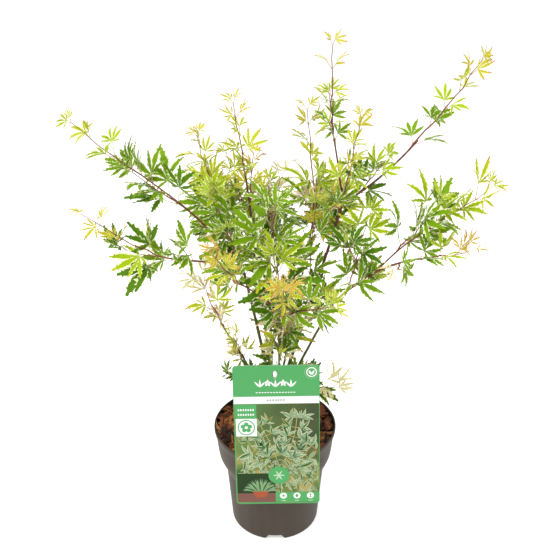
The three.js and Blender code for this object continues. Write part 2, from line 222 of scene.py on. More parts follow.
def ring_faces(rows, sides):
    """Faces of a skin over rows of rings of points, with a cap at each end."""
    faces = []
    for row in range(rows - 1):
        for side in range(sides):
            here, after = row * sides + side, row * sides + (side + 1) % sides
            faces.append((here, after, after + sides, here + sides))
    faces.append(tuple(reversed(range(sides))))
    faces.append(tuple((rows - 1) * sides + side for side in range(sides)))
    return faces


def turned(profile, sides):
    """Points and faces of a profile of radii and heights turned about Z, capped at its ends."""
    turns = np.arange(sides) * 2 * math.pi / sides
    points = [(r * math.cos(turn), r * math.sin(turn), z) for r, z in profile for turn in turns]
    return points, ring_faces(len(profile), sides)


def cut_out(piece, points, faces):
    """Takes a closed body out of a piece for good."""
    cutter = make_piece("cutter", points, faces, [])
    modifier = piece.modifiers.new("cut", "BOOLEAN")
    modifier.operation = "DIFFERENCE"
    modifier.solver = "EXACT"
    modifier.object = cutter
    whole = piece.evaluated_get(bpy.context.evaluated_depsgraph_get())
    mesh = bpy.data.meshes.new_from_object(whole)
    piece.modifiers.clear()
    old = piece.data
    piece.data = mesh
    bpy.data.meshes.remove(old)
    bpy.data.objects.remove(cutter)


def channel_body(bearing):
    """A bar with a trapezium section that runs outwards under the pot's foot."""
    foot, top = [width / 2 for width in CHANNEL_WIDTHS]
    section = [(-foot, -POT_WALL), (foot, -POT_WALL), (foot, 0), (top, CHANNEL_HEIGHT)]
    section += [(-top, CHANNEL_HEIGHT), (-foot, 0)]
    turn = math.radians(bearing)
    along = np.array([math.cos(turn), math.sin(turn), 0])
    across = np.array([-along[1], along[0], 0])
    up = np.array([0, 0, 1])
    points = [along * end + across * x + up * z for end in CHANNEL_SPAN for x, z in section]
    return points, ring_faces(2, len(section))


def lay_grain(material, shader, size, texture, tones=None, relief=None):
    """Lays a grain over a finish, of the size given along each axis or along all of them.

    Tones are the stops of the colours that it shades through; relief is how strongly and how high it stands.
    """
    vector = add(material, "ShaderNodeTexCoord").outputs["Object"]
    scale = 1.0
    if isinstance(size, tuple):
        stretch = {"Scale": tuple(1 / length for length in size)}
        vector = add(material, "ShaderNodeMapping", stretch, {"Vector": vector}).outputs["Vector"]
    else:
        scale = 1 / size
    texture = {"Scale": scale, **texture}
    grain = add(material, "ShaderNodeTexNoise", texture, {"Vector": vector}).outputs["Fac"]
    if tones:
        tone = add(material, "ShaderNodeValToRGB", {"stops": tones}, {"Fac": grain})
        join(material, tone.outputs["Color"], shader.inputs["Base Color"])
    if relief:
        bump = add(material, "ShaderNodeBump", dict(zip(("Strength", "Distance"), relief)), {"Height": grain})
        join(material, bump.outputs["Normal"], shader.inputs["Normal"])
    return grain


outer_wall = cut_corners(POT_OUTLINE, 2) * MM
inner_wall = outer_wall[outer_wall[:, 1] > POT_FLOOR + POT_WALL][::-1] - (POT_WALL, 0)
inner_wall = inner_wall[inner_wall[:, 1] < POT_HEIGHT - RIM_ROUND[1]]
rim = [(pot_high.x - POT_WALL + RIM_ROUND[0], POT_HEIGHT)]
inner_floor = [(inner_wall[-1][0] - POT_WALL, POT_FLOOR)]
pot = make_piece("nursery_pot", *turned([*outer_wall, *rim, *inner_wall, *inner_floor], POT_SIDES), [])
for bearing in CHANNEL_BEARINGS:
    cut_out(pot, *channel_body(bearing))
for number in range(DRAIN_COUNT):
    turn = math.radians(CHANNEL_BEARINGS[0] + number * 360 / DRAIN_COUNT)
    hole, hole_faces = turned([(DRAIN_RADIUS, -POT_WALL), (DRAIN_RADIUS, 4 * POT_FLOOR)], DRAIN_SIDES)
    shift = np.array([DRAIN_CIRCLE * math.cos(turn), DRAIN_CIRCLE * math.sin(turn), 0])
    cut_out(pot, np.array(hole) + shift, hole_faces)

# Recycled polypropylene: a warm grey, half matt from a spark-eroded mould, with a soft broad sheen
# and faint flow marks up the wall.
polypropylene, pot_shader = new_material(
    "recycled_polypropylene", "#463c33", 0.52, 1.49, {"Specular IOR Level": 0.2})
flow_tones = [(0.3, "#42382e"), (0.55, "#463c33"), (0.8, "#4b4138")]
lay_grain(polypropylene, pot_shader, FLOW_MARKS, {"Detail": 4.0, "Roughness": 0.55}, flow_tones)
lay_grain(polypropylene, pot_shader, SPARK_PITS, {"Detail": 2.0}, relief=(0.25, 0.05 * MM))

# The inside of the wall is the same plastic with blotches of stain from damp compost. It is also darker all
# over, and that darkness is painted shade inside the pot.
shaded_and_stained, shaded_and_stained_shader = new_material("shade_painted_stained_polypropylene", "#2b2620", 0.6, 1.49)
shade_and_stain_tones = [(0.35, "#17120d"), (0.6, "#2b2620"), (0.8, "#453f37")]
lay_grain(shaded_and_stained, shaded_and_stained_shader, DAMP_STAINS, {"Detail": 5.0, "Roughness": 0.65}, shade_and_stain_tones)
pot.data.materials.clear()
pot.data.materials.append(polypropylene)
pot.data.materials.append(shaded_and_stained)
# Faces that look inwards below the rim take the darker inside material: painted shade with stain blotches.
for polygon in pot.data.polygons:
    facing_out = polygon.normal.x * polygon.center.x + polygon.normal.y * polygon.center.y
    inside = facing_out < 0 and polygon.center.z < POT_HEIGHT - SHADE_AND_STAIN_BELOW_RIM
    polygon.material_index = int(inside)
    polygon.use_smooth = True
pot.data.set_sharp_from_angle(angle=math.radians(SHARP_EDGE))
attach(pot, "root")
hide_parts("pot")

# ---------- compost ----------
# Peat-free compost and roots, packed to about three centimetres under the rim.
# It is nearly black, damp and crumbly, and shows only between the chips of bark.

compost_low, compost_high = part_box("compost")
COMPOST_SIDES = 96
COMPOST_RINGS = 26
COMPOST_CRUMB = 1.6 * MM
COMPOST_LUMPS = 5 * MM
COMPOST_CLEARANCE = 0.4 * MM
COMPOST_SHOULDER = 4 * MM  # from its top down to where its side follows the wall
COMPOST_GRAIN = 2.381 * MM

# The top, then the side down the inside of the wall to the roofs of the drain channels.
top_height = compost_high.z - COMPOST_CRUMB
compost_profile = [(compost_high.x * ring / COMPOST_RINGS, top_height) for ring in range(COMPOST_RINGS + 1)]
heights = inner_wall[:, 1]
beside = inner_wall[(heights < compost_high.z - COMPOST_SHOULDER) & (heights > compost_low.z)]
compost_profile += [(radius - COMPOST_CLEARANCE, height) for radius, height in beside]
compost_profile.append((compost_profile[-1][0], compost_low.z))
compost_points, compost_faces = turned(compost_profile, COMPOST_SIDES)
del compost_faces[-2]  # the top closes at its middle, so it needs no cap there
for corner in range(COMPOST_RINGS * COMPOST_SIDES):
    x, y, z = compost_points[corner]
    crumb = noise.fractal(Vector((x, y, 0)) / COMPOST_LUMPS, 0.9, 2.0, 4) * COMPOST_CRUMB
    compost_points[corner] = (x, y, z + crumb)

# Damp compost: nearly black brown crumbs from one to five millimetres across, fully matt.
damp_compost, compost_shader = new_material("damp_compost", "#20140d", 0.95, 1.4)
compost_tones = [(0.35, "#120a06"), (0.6, "#2a1a11"), (0.8, "#47301f")]
crumbly = {"Detail": 5.0, "Roughness": 0.7}
lay_grain(damp_compost, compost_shader, COMPOST_GRAIN, crumbly, compost_tones, (0.8, 1.2 * MM))

# Its profile runs down, so each face is turned over to look outwards.
underside = compost_faces.pop()
outward_faces = [(face[0], *reversed(face[1:])) for face in compost_faces] + [underside[::-1]]
compost = make_piece("damp_compost", compost_points, outward_faces, [damp_compost])
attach(compost, "root")
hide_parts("compost")

# ---------- bark mulch ----------
# Chipped pine bark, raked loosely over the compost: blocky flakes with long slivers of the inner bark.
# Each chip is a split, tapering flake; they lie as they fell, and dark gaps show between them.

mulch_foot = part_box("bark_mulch")[0].z
trunk_low, trunk_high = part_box("trunk")
trunk_foot = (trunk_low + trunk_high) / 2
CHIP_COUNT = 800
SLIVER_SHARE = 0.42
# Each kind's length, its width as a share of that and its depth as a share of its width.
SLIVER = ((13 * MM, 36 * MM), (0.09, 0.2), (0.4, 0.8))
FLAKE = ((10 * MM, 25 * MM), (0.35, 0.8), (0.12, 0.4))
CHIP_STEPS = (5, 3, 2)  # cells along, across and through a chip
BED_BELOW_RIM = 7.5 * MM  # the topmost chips' middles, in the middle of the bed and then at the wall
WALL_BELOW_RIM = 3 * MM
CHIP_CLEARANCE = 0.6 * MM
CHIP_SINK = 1.5 * MM  # how far into the compost a chip may press
BARE_ROUND_TRUNK = 11 * MM
CHIP_SEED = 11
BARK_FIBRES = 3.0303 * MM
# Each tone: the chip's dark and light colours, and its share of the chips.
BARK_TONES = {
    "pine_bark_black": ("#150b07", "#331b10", 0.14),
    "pine_bark_dark": ("#38190b", "#663417", 0.32),
    "pine_bark_red": ("#572a10", "#8e4c22", 0.34),
    "pine_bark_tan": ("#74421c", "#b0743a", 0.15),
    "pine_bark_pale": ("#8f5a32", "#c08c5c", 0.05),
}

chip_rng = np.random.default_rng(CHIP_SEED)


def chip_block():
    """Corner places of a block cut into CHIP_STEPS cells, each from -1 to 1, and the faces of its skin."""
    places = {}
    faces = []
    for axis in range(3):
        u, v = [other for other in range(3) if other != axis]
        for end in (0, CHIP_STEPS[axis]):
            for i, j in np.ndindex(CHIP_STEPS[u], CHIP_STEPS[v]):
                ring = []
                for di, dj in ((0, 0), (1, 0), (1, 1), (0, 1)):
                    key = [0, 0, 0]
                    key[axis], key[u], key[v] = end, i + di, j + dj
                    ring.append(places.setdefault(tuple(key), len(places)))
                faces.append(ring if (end > 0) == (axis != 1) else ring[::-1])
    return np.array(list(places), dtype=float) / CHIP_STEPS * 2 - 1, faces


def empty_heap():
    return {"points": [], "faces": [], "slots": [], "count": 0}


def heap_up(heap, points, faces, slots):
    """Adds a body to a heap of bodies that becomes one piece. Slots are one for each face, or one for all."""
    start = heap["count"]
    heap["points"].append(np.array(points))
    heap["faces"].extend([tuple(start + corner for corner in face) for face in faces])
    heap["slots"].extend([slots] * len(faces) if np.isscalar(slots) else slots)
    heap["count"] += len(points)


def make_heap(name, heap, materials, smooth=True):
    return make_piece(name, np.vstack(heap["points"]), heap["faces"], materials, heap["slots"], smooth)


block, block_faces = chip_block()
wall_radii, wall_heights = inner_wall[::-1].T
chips = empty_heap()
for _ in range(CHIP_COUNT):
    lengths, widths, depths = SLIVER if chip_rng.random() < SLIVER_SHARE else FLAKE
    length = chip_rng.uniform(*lengths)
    width = length * chip_rng.uniform(*widths)
    depth = width * chip_rng.uniform(*depths)
    body = block.copy()
    torn = 1 + 0.3 * np.sin(body[:, 1] * chip_rng.uniform(3, 9) + body[:, 2] + chip_rng.uniform(0, 6))
    body[:, 0] *= torn
    taper = 1 - chip_rng.uniform(0.1, 0.5) * np.abs(body[:, 0] / torn) ** 3
    body[:, 1:] *= taper[:, None]
    body[:, 1] += 0.35 * chip_rng.normal() * body[:, 0] ** 2
    body[:, 2] += 0.5 * chip_rng.normal() * body[:, 0] ** 2
    body += chip_rng.normal(0, 0.13, body.shape)
    body *= np.array([length, width, depth]) / 2
    outwards = chip_rng.random() ** 0.44  # more of them lie near the wall, where there is more room
    bearing = chip_rng.uniform(0, 2 * math.pi)
    tilt = chip_rng.normal(0, 0.32)
    yaw = chip_rng.uniform(0, 2 * math.pi)
    roll = chip_rng.normal(0, 0.4)
    body = body @ np.array(Euler((roll, tilt, yaw)).to_matrix()).T
    bed_top = POT_HEIGHT - BED_BELOW_RIM + (BED_BELOW_RIM - WALL_BELOW_RIM) * outwards ** 3
    height = mulch_foot + (bed_top - mulch_foot) * chip_rng.random() ** 0.35  # most lie near the top
    spread = outwards * (np.interp(height, wall_heights, wall_radii) - 2 * MM)
    body += (spread * math.cos(bearing), spread * math.sin(bearing), height)
    reach = np.hypot(body[:, 0], body[:, 1])
    wall_here = np.interp(body[:, 2], wall_heights, wall_radii) - CHIP_CLEARANCE
    body[:, :2] *= np.minimum(1, wall_here / reach)[:, None]
    body[:, 2] = np.maximum(body[:, 2], mulch_foot - CHIP_SINK)
    if math.hypot(*(body[:, :2].mean(0) - np.array(trunk_foot[:2]))) < BARE_ROUND_TRUNK:
        continue
    tone = int(chip_rng.choice(len(BARK_TONES), p=[share for _, _, share in BARK_TONES.values()]))
    heap_up(chips, body, block_faces, tone)

# Pine bark: matt and corky, from nearly black outer bark to orange brown inner flakes,
# with fibres and cracks a few millimetres apart.
fibrous = {"Detail": 6.0, "Roughness": 0.68, "Distortion": 0.8}
bark_materials = []
for name, (shade, light, _) in BARK_TONES.items():
    bark, bark_shader = new_material(name, light, 0.8)
    lay_grain(bark, bark_shader, BARK_FIBRES, fibrous, [(0.36, shade), (0.62, light)], (0.7, 0.8 * MM))
    bark_materials.append(bark)

mulch = make_heap("bark_chips", chips, bark_materials, smooth=False)
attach(mulch, "root")
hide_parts("bark_mulch")

# ---------- picture label ----------
# A printed card of 0.8 mm polypropylene with rounded corners and an oval eye, gloss varnished.
# The print is a plain one of the trade's kind: a green head, a white strip, a garden picture, care signs.

CARD_CORNER = 5.5 * MM
EYE_SIZE = (7.5 * MM, 12 * MM)
EYE_BELOW_TOP = 14 * MM
EYE_SIDE = -1.5 * MM
INK = 0.06 * MM  # each print layer stands this far before the one under it, so that none flickers
VARNISH = {"Specular IOR Level": 0.16, "Coat Weight": 0.05, "Coat Roughness": 0.12}
VARNISHED = 0.28  # the ink's own roughness
SHEET_RIPPLE = 18.182 * MM
PICTURE_BLOTS = 23.81 * MM
INKS = {
    "ink_leaf_green": "#4d9c5a",
    "ink_white": "#e4e7e2",
    "ink_pale_green": "#b4cbb0",
    "ink_sage": "#7c9972",
    "ink_moss": "#2f5f1c",
    "ink_cream": "#c2c4a2",
    "ink_straw": "#a89a58",
    "ink_terracotta": "#9f4e2c",
    "ink_slate": "#1a3610",
    "ink_brick": "#764d42",
}


def points_of(node):
    """The corner places of a CAD node's mesh."""
    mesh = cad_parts[node].data
    places = np.empty(len(mesh.vertices) * 3)
    mesh.vertices.foreach_get("co", places)
    return np.unique(np.round(places.reshape(-1, 3), 6), axis=0)


def card_axes():
    """The card's right, up and forward directions, from the areas of the CAD card's flat faces."""
    faces = {}
    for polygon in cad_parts["label_card"].data.polygons:
        key = tuple(round(value, 2) for value in polygon.normal)
        area, normal = faces.get(key, (0, Vector()))
        faces[key] = (area + polygon.area, normal + polygon.normal * polygon.area)
    ranked = sorted(faces.values(), key=lambda found: -found[0])
    normals = [normal.normalized() for _, normal in ranked]
    forward = next(normal for normal in normals[:2] if normal.y < 0)
    flat = [normal for normal in normals[2:] if abs(normal.dot(forward)) < 0.05]
    right = next(normal for normal in flat if normal.x > 0.9)
    return np.array(right), np.array(forward.cross(right)), np.array(forward)


card_right, card_up, card_forward = card_axes()
card_spans = [points_of("label_card") @ axis for axis in (card_right, card_up, card_forward)]
card_width, card_length, card_depth = [span.max() - span.min() for span in card_spans]
middles = [(span.max() + span.min()) / 2 for span in card_spans]
card_centre = card_right * middles[0] + card_up * middles[1] + card_forward * middles[2]


def on_card(x, y, lift=0.0):
    """A place on the card, x and y in metres from its lower left corner, lift in front of its face."""
    across = x - card_width / 2
    along = y - card_length / 2
    return card_centre + card_right * across + card_up * along + card_forward * (card_depth / 2 + lift)


def round_from(centre, radius, turn):
    """The place at a radius from a centre on the card, at a turn in radians from its right."""
    return centre[0] + radius * math.cos(turn), centre[1] + radius * math.sin(turn)


def box_outline(left, low, right, high, corner=0.0, steps=6):
    """A rectangle with rounded corners, as a ring of places."""
    if corner == 0:
        return [(left, low), (right, low), (right, high), (left, high)]
    ring = []
    centres = [(right - corner, high - corner), (left + corner, high - corner)]
    centres += [(left + corner, low + corner), (right - corner, low + corner)]
    for quarter, centre in enumerate(centres):
        turns = [math.pi / 2 * (quarter + step / steps) for step in range(steps + 1)]
        ring += [round_from(centre, corner, turn) for turn in turns]
    return ring


def oval_outline(x, y, width, height, steps=32):
    turns = [2 * math.pi * step / steps for step in range(steps)]
    return [(x + width / 2 * math.cos(turn), y + height / 2 * math.sin(turn)) for turn in turns]


def prism(outline, back, front):
    """A thin closed plate with that outline, from one lift off the card's face to another."""
    points = [on_card(x, y, lift) for lift in (back, front) for x, y in outline]
    return points, ring_faces(2, len(outline))


# Printed card: white polypropylene under inks, with a clear gloss varnish that is almost flat.
# The sheet's faint unevenness shows in the varnish, and the cut edge shows the pale core.
inks = {}
for name, code in INKS.items():
    inks[name], ink_shader = new_material(name, code, VARNISHED, 1.5, VARNISH)
    lay_grain(inks[name], ink_shader, SHEET_RIPPLE, {"Detail": 2.0}, relief=(0.06, 0.3 * MM))
card_core = new_material("polypropylene_core", "#dfe6da", 0.5, 1.49)[0]

card_ring = box_outline(0, 0, card_width, card_length, CARD_CORNER, 8)
eye = oval_outline(card_width / 2 + EYE_SIDE, card_length - EYE_BELOW_TOP, *EYE_SIZE)
card_skins = [inks["ink_leaf_green"], card_core]
card = make_piece("label_card_printed", *prism(card_ring, -card_depth, 0), card_skins)
cut_out(card, *prism(eye, -3 * card_depth, 2 * card_depth))
for polygon in card.data.polygons:
    polygon.use_smooth = False
    polygon.material_index = int(abs(polygon.normal.dot(Vector(card_forward))) < 0.5)
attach(card, "root")
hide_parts("label_card")

# The soft picture: a garden out of focus, pale sage at the left, darker and greyer at the upper right,
# warmer and greener low down. Its coordinates for that run from 0 to 1 over the picture.
soft_picture, picture_shader = new_material("ink_soft_garden", "#5f7a48", VARNISHED, 1.5, VARNISH)
blots = lay_grain(soft_picture, picture_shader, PICTURE_BLOTS, {"Detail": 2.0, "Roughness": 0.45})
over_picture = add(soft_picture, "ShaderNodeTexCoord").outputs["Generated"]
shares = add(soft_picture, "ShaderNodeSeparateXYZ", None, {"Vector": over_picture}).outputs
low_stops = {"stops": [(0.32, "#3c5426"), (0.5, "#67763a"), (0.66, "#a09252")]}
low_tone = add(soft_picture, "ShaderNodeValToRGB", low_stops, {"Fac": blots}).outputs["Color"]
side_stops = {"stops": [(0.0, "#6f8e52"), (0.45, "#586d40"), (1.0, "#434f36")]}
side_tone = add(soft_picture, "ShaderNodeValToRGB", side_stops, {"Fac": shares["X"]}).outputs["Color"]
soft_light = {"data_type": "RGBA", "blend_type": "SOFT_LIGHT", 0: 0.45}
high_tone = add(soft_picture, "ShaderNodeMix", soft_light, {6: side_tone, 7: low_tone}).outputs[2]
rise = {"From Min": 0.3, "From Max": 0.62}
high_share = add(soft_picture, "ShaderNodeMapRange", rise, {"Value": shares["Z"]}).outputs["Result"]
both_tones = {0: high_share, 6: low_tone, 7: high_tone}
picture_tone = add(soft_picture, "ShaderNodeMix", {"data_type": "RGBA"}, both_tones).outputs[2]
join(soft_picture, picture_tone, picture_shader.inputs["Base Color"])

picture_left, picture_low = 1.3 * MM, 2.4 * MM
picture_right, picture_high = card_width - 0.9 * MM, card_length * 0.735
picture_ring = box_outline(picture_left, picture_low, picture_right, picture_high, 2.5 * MM)
picture = make_piece("label_picture", *prism(picture_ring, 0, INK), [soft_picture], smooth=False)
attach(picture, "root")

# Everything printed over the green card and the soft picture, each thing a thin plate of one ink.
prints = empty_heap()
ink_names = list(INKS)


def stamp(outline, name, layer):
    """Prints one shape on the card in the ink named, in that layer over the picture."""
    heap_up(prints, *prism(outline, 0, INK * (1 + layer)), ink_names.index(name))


def blade_outline(foot, bearing, length, width, bend=0.0, steps=9):
    """A lance-shaped leaf from its foot along a bearing in degrees, widest before its middle."""
    sides = []
    for side in (1, -1):
        for step in range(steps + 1):
            share = step / steps if side > 0 else 1 - step / steps
            turn = math.radians(bearing + bend * share)
            half = side * width / 2 * math.sin(math.pi * share ** 0.8)
            spine = round_from(foot, length * share, turn)
            sides.append((spine[0] - half * math.sin(turn), spine[1] + half * math.cos(turn)))
    return sides[:steps + 1] + sides[steps + 2:-1]


def stamp_ring(centre, diameter, width, name, layer, steps=36):
    """A printed ring, laid as a row of short plates."""
    outer, inner = diameter / 2, diameter / 2 - width
    for step in range(steps):
        start, end = [2 * math.pi * (step + side) / steps for side in (0, 1)]
        plate = ((inner, start), (outer, start), (outer, end), (inner, end))
        stamp([round_from(centre, radius, turn) for radius, turn in plate], name, layer)


# The white strip under the head, and the head's only ornaments: fans of three leaves and small flowers
# in a row, with a broken line under them and another on the strip.
strip_high = card_length * 0.785
stamp(box_outline(0.6 * MM, picture_high, card_width - 0.6 * MM, strip_high), "ink_white", 1)
head_x, head_y = card_width / 2 - 1 * MM, card_length * 0.878
# Each ornament: its leaves' bearings, how far below the row's middle they start, their length and width.
FAN = ((48, 90, 132), 6 * MM, 12 * MM, 2.6 * MM)
FLOWER = (range(18, 378, 72), 0, 5.6 * MM, 3.6 * MM)
for number, (bearings, drop, length, width) in enumerate((FAN, FLOWER, FAN, FLOWER, FAN)):
    foot = (head_x + (number - 2) * 11 * MM, head_y - drop)
    for bearing in bearings:
        stamp(blade_outline(foot, bearing, length, width), "ink_white", 1)
# Each broken line: its height, its number of dashes, the length of a dash and of a gap, and its ink.
BROKEN_LINES = (
    (head_y - 14.5 * MM, 14, 2.8 * MM, 1.3 * MM, "ink_white"),
    ((picture_high + strip_high) / 2, 7, 2.6 * MM, 1.2 * MM, "ink_moss"),
)
for height, dashes, dash, gap, name in BROKEN_LINES:
    left = head_x - (dashes * (dash + gap) - gap) / 2
    for number in range(dashes):
        x = left + number * (dash + gap)
        stamp(box_outline(x, height - 0.7 * MM, x + dash, height + 0.7 * MM), name, 2)

# A ring of dots round a plain ring with two leaves, in the head's right corner.
DOTS = 28
corner_sign = (card_width - 11.5 * MM, card_length - 11 * MM)
stamp_ring(corner_sign, 15 * MM, 1.5 * MM, "ink_white", 1)
for number in range(DOTS):
    dot = round_from(corner_sign, 9.6 * MM, 2 * math.pi * number / DOTS)
    stamp(oval_outline(*dot, 0.9 * MM, 0.9 * MM, 8), "ink_pale_green", 1)
for bearing in (60, 120):
    foot = (corner_sign[0], corner_sign[1] - 4 * MM)
    stamp(blade_outline(foot, bearing, 8 * MM, 3.4 * MM), "ink_white", 2)

# The picture's subject: arching stems with fans of narrow, cream-edged leaves, over a bed of paler ones.
# Each stem: its foot as shares of the card's width and length, its bearing, length and bend, and its fans.
ARCHING_STEMS = [
    ((0.57, 0.30), 66, 78, 22, 5),
    ((0.52, 0.28), 106, 72, 14, 4),
    ((0.60, 0.27), 34, 52, 30, 3),
    ((0.46, 0.29), 142, 56, -26, 3),
]
BED_LEAVES = 240
PICTURE_SEED = 5
FINGERS = (-2, 2, -1, 1, 0)  # the leaves of a fan, from its outer ones in
picture_rng = np.random.default_rng(PICTURE_SEED)


def in_picture(outline):
    low, high = np.min(outline, axis=0), np.max(outline, axis=0)
    past_low_corner = low[0] > picture_left and low[1] > picture_low
    return past_low_corner and high[0] < picture_right and high[1] < picture_high


def edged_leaf(foot, bearing, length, bend, layer):
    """A leaf with a pale edge, if the picture has room for it."""
    edge = blade_outline(foot, bearing, length, 0.25 * length, bend)
    if in_picture(edge):
        stamp(edge, "ink_cream" if picture_rng.random() < 0.8 else "ink_straw", layer)
        middle = blade_outline(foot, bearing, 0.92 * length, 0.15 * length, bend)
        stamp(middle, "ink_sage" if picture_rng.random() < 0.75 else "ink_moss", layer + 0.5)


def bar_outline(start, end, half):
    """A straight bar from one place to another, half its width to each side."""
    return [start - half, end - half, end + half, start + half]


for _ in range(BED_LEAVES):
    foot = (card_width * picture_rng.uniform(0.06, 0.98), card_length * picture_rng.uniform(0.1, 0.34))
    bearing = picture_rng.uniform(0, 360)
    edged_leaf(foot, bearing, picture_rng.uniform(8, 15) * MM, picture_rng.uniform(-30, 30), 1)
for (share_x, share_y), bearing, length, bend, fans in ARCHING_STEMS:
    here = np.array([card_width * share_x, card_length * share_y])
    for step in range(fans):
        turn = math.radians(bearing + bend * step / fans)
        forward = np.array([math.cos(turn), math.sin(turn)])
        across = np.array([-forward[1], forward[0]])
        ahead = here + forward * length / fans * MM
        for side in (1, -1, 0) if step == fans - 1 else (1, -1):
            heart = ahead + across * side * 9 * MM
            if side:
                stamp(bar_outline(ahead, heart, forward * 0.45 * MM), "ink_straw", 2)
            middle_bearing = math.degrees(turn) + side * picture_rng.uniform(30, 55)
            span = picture_rng.uniform(19, 26) * (1 - 0.25 * step / fans) * MM
            for finger in FINGERS:
                finger_bearing = middle_bearing + finger * picture_rng.uniform(30, 38)
                finger_length = span * (1 - 0.14 * abs(finger))
                edged_leaf(heart, finger_bearing, finger_length, picture_rng.uniform(-24, 24), 2)
        shaft = bar_outline(here, ahead, across * 0.5 * MM)
        if in_picture(shaft):
            stamp(shaft, "ink_straw", 1.5)
        here = ahead

# The emblem block: a green field over a white one, with a plain flower of five round petals in a ring.
emblem_left, emblem_right = 2.6 * MM, 32.6 * MM
emblem_low, emblem_middle = card_length * 0.505, card_length * 0.63
stamp(box_outline(emblem_left, emblem_middle, emblem_right, picture_high - 1.2 * MM), "ink_leaf_green", 4)
stamp(box_outline(emblem_left, emblem_low, emblem_right, emblem_middle), "ink_white", 4)
flower = ((emblem_left + emblem_right) / 2, (emblem_low + emblem_middle) / 2)
stamp_ring(flower, 25 * MM, 1.6 * MM, "ink_leaf_green", 5)
for bearing in range(90, 450, 72):
    petal = round_from(flower, 5.2 * MM, math.radians(bearing))
    stamp(oval_outline(*petal, 6.4 * MM, 6.4 * MM, 20), "ink_leaf_green", 5)
stamp(oval_outline(*flower, 4 * MM, 4 * MM, 16), "ink_white", 6)
for row in range(2):
    for number in range(7):
        bead = (emblem_left + (4.4 + 3.5 * number) * MM, emblem_middle + (6.5 + 7.5 * row) * MM)
        stamp(oval_outline(*bead, 2.4 * MM, 3.4 * MM, 12), "ink_white", 5)

# The small inset: a terracotta bowl of low grass on a brick path, and the plain green badge beside it.
inset_left, inset_low, inset_right, inset_high = 2.2 * MM, 3.2 * MM, 58 * MM, 51.5 * MM
GRASS_BLADES = 33
stamp(box_outline(inset_left, inset_low, inset_right, inset_high), "ink_slate", 4)
stamp(box_outline(inset_left, inset_low, inset_right, inset_low + 15 * MM), "ink_brick", 5)
bowl_x, bowl_y = (inset_left + inset_right) / 2 + 6 * MM, inset_low + 8 * MM
bowl_foot = [(bowl_x - 7 * MM, bowl_y), (bowl_x + 7 * MM, bowl_y)]
bowl_rim = [(bowl_x + 12 * MM, bowl_y + 10 * MM), (bowl_x - 12 * MM, bowl_y + 10 * MM)]
stamp(bowl_foot + bowl_rim, "ink_terracotta", 6)
for number in range(GRASS_BLADES):
    lean = number / (GRASS_BLADES // 2) - 1
    foot = (bowl_x + lean * 9 * MM, bowl_y + 9.5 * MM)
    grass = blade_outline(foot, 90 - 62 * lean, (23 - 5 * abs(lean)) * MM, 2.6 * MM, -26 * lean)
    stamp(grass, "ink_sage" if number % 3 else "ink_moss", 5 + number % 2)
badge = (card_width * 0.515, card_length * 0.215)
stamp(oval_outline(*badge, 31 * MM, 29 * MM, 48), "ink_leaf_green", 7)
for bearing in range(0, 360, 60):
    stamp(blade_outline(badge, bearing, 9 * MM, 2.2 * MM), "ink_pale_green", 8)

# The care signs: three white discs on a green band, for sun, water and height, with a bar under each.
band_low = inset_low
stamp(box_outline(inset_right, band_low, picture_right, 19.7 * MM), "ink_leaf_green", 4)
for number, sign in enumerate(("sun", "water", "height")):
    x, y = inset_right + (11.5 + 20 * number) * MM, band_low + 10.4 * MM
    stamp(oval_outline(x, y, 10.6 * MM, 10 * MM, 28), "ink_white", 5)
    bar = box_outline(x - 3.4 * MM, band_low + 1.6 * MM, x + 3.4 * MM, band_low + 2.6 * MM)
    stamp(bar, "ink_pale_green", 5)
    if sign == "sun":
        stamp(oval_outline(x, y, 3.2 * MM, 3.2 * MM, 16), "ink_leaf_green", 6)
        for bearing in range(0, 360, 45):
            foot = round_from((x, y), 2.2 * MM, math.radians(bearing))
            stamp(blade_outline(foot, bearing, 1.8 * MM, 0.7 * MM, 0, 4), "ink_leaf_green", 6)
    elif sign == "water":
        stamp(blade_outline((x, y - 3 * MM), 90, 6.4 * MM, 4.2 * MM), "ink_leaf_green", 6)
    else:
        stamp(box_outline(x - 0.5 * MM, y - 3 * MM, x + 0.5 * MM, y + 3 * MM), "ink_leaf_green", 6)
        for side in (1, -1):
            arrow = blade_outline((x, y - side * 3.4 * MM), 90 * side, 2.6 * MM, 3 * MM, 0, 4)
            stamp(arrow, "ink_leaf_green", 6)

print_layer = make_heap("label_print", prints, list(inks.values()), smooth=False)
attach(print_layer, "root")

# ---------- label stake ----------
# The white stake that the card hangs on, moulded in polypropylene with a rounded head and a peg through
# the eye. It is pushed down into the compost just inside the rim. Its CAD shape is kept.

STAKE_MARKS = 6.25 * MM

# White polypropylene: smooth from the mould, half gloss and faintly marked.
white_polypropylene, stake_shader = new_material("white_polypropylene", "#efeee8", 0.36, 1.49)
stake_tones = [(0.3, "#e4e2d8"), (0.6, "#f3f2ed")]
lay_grain(white_polypropylene, stake_shader, STAKE_MARKS, {"Detail": 3.0}, stake_tones)
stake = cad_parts["label_stake"]
stake.data.materials.clear()
stake.data.materials.append(white_polypropylene)

# ---------- trunk and stems ----------
# Several slender stems from one short foot, each round and tapering, with smooth young bark.
# The bark is olive green low down and red brown higher up, ringed at every old leaf joint.

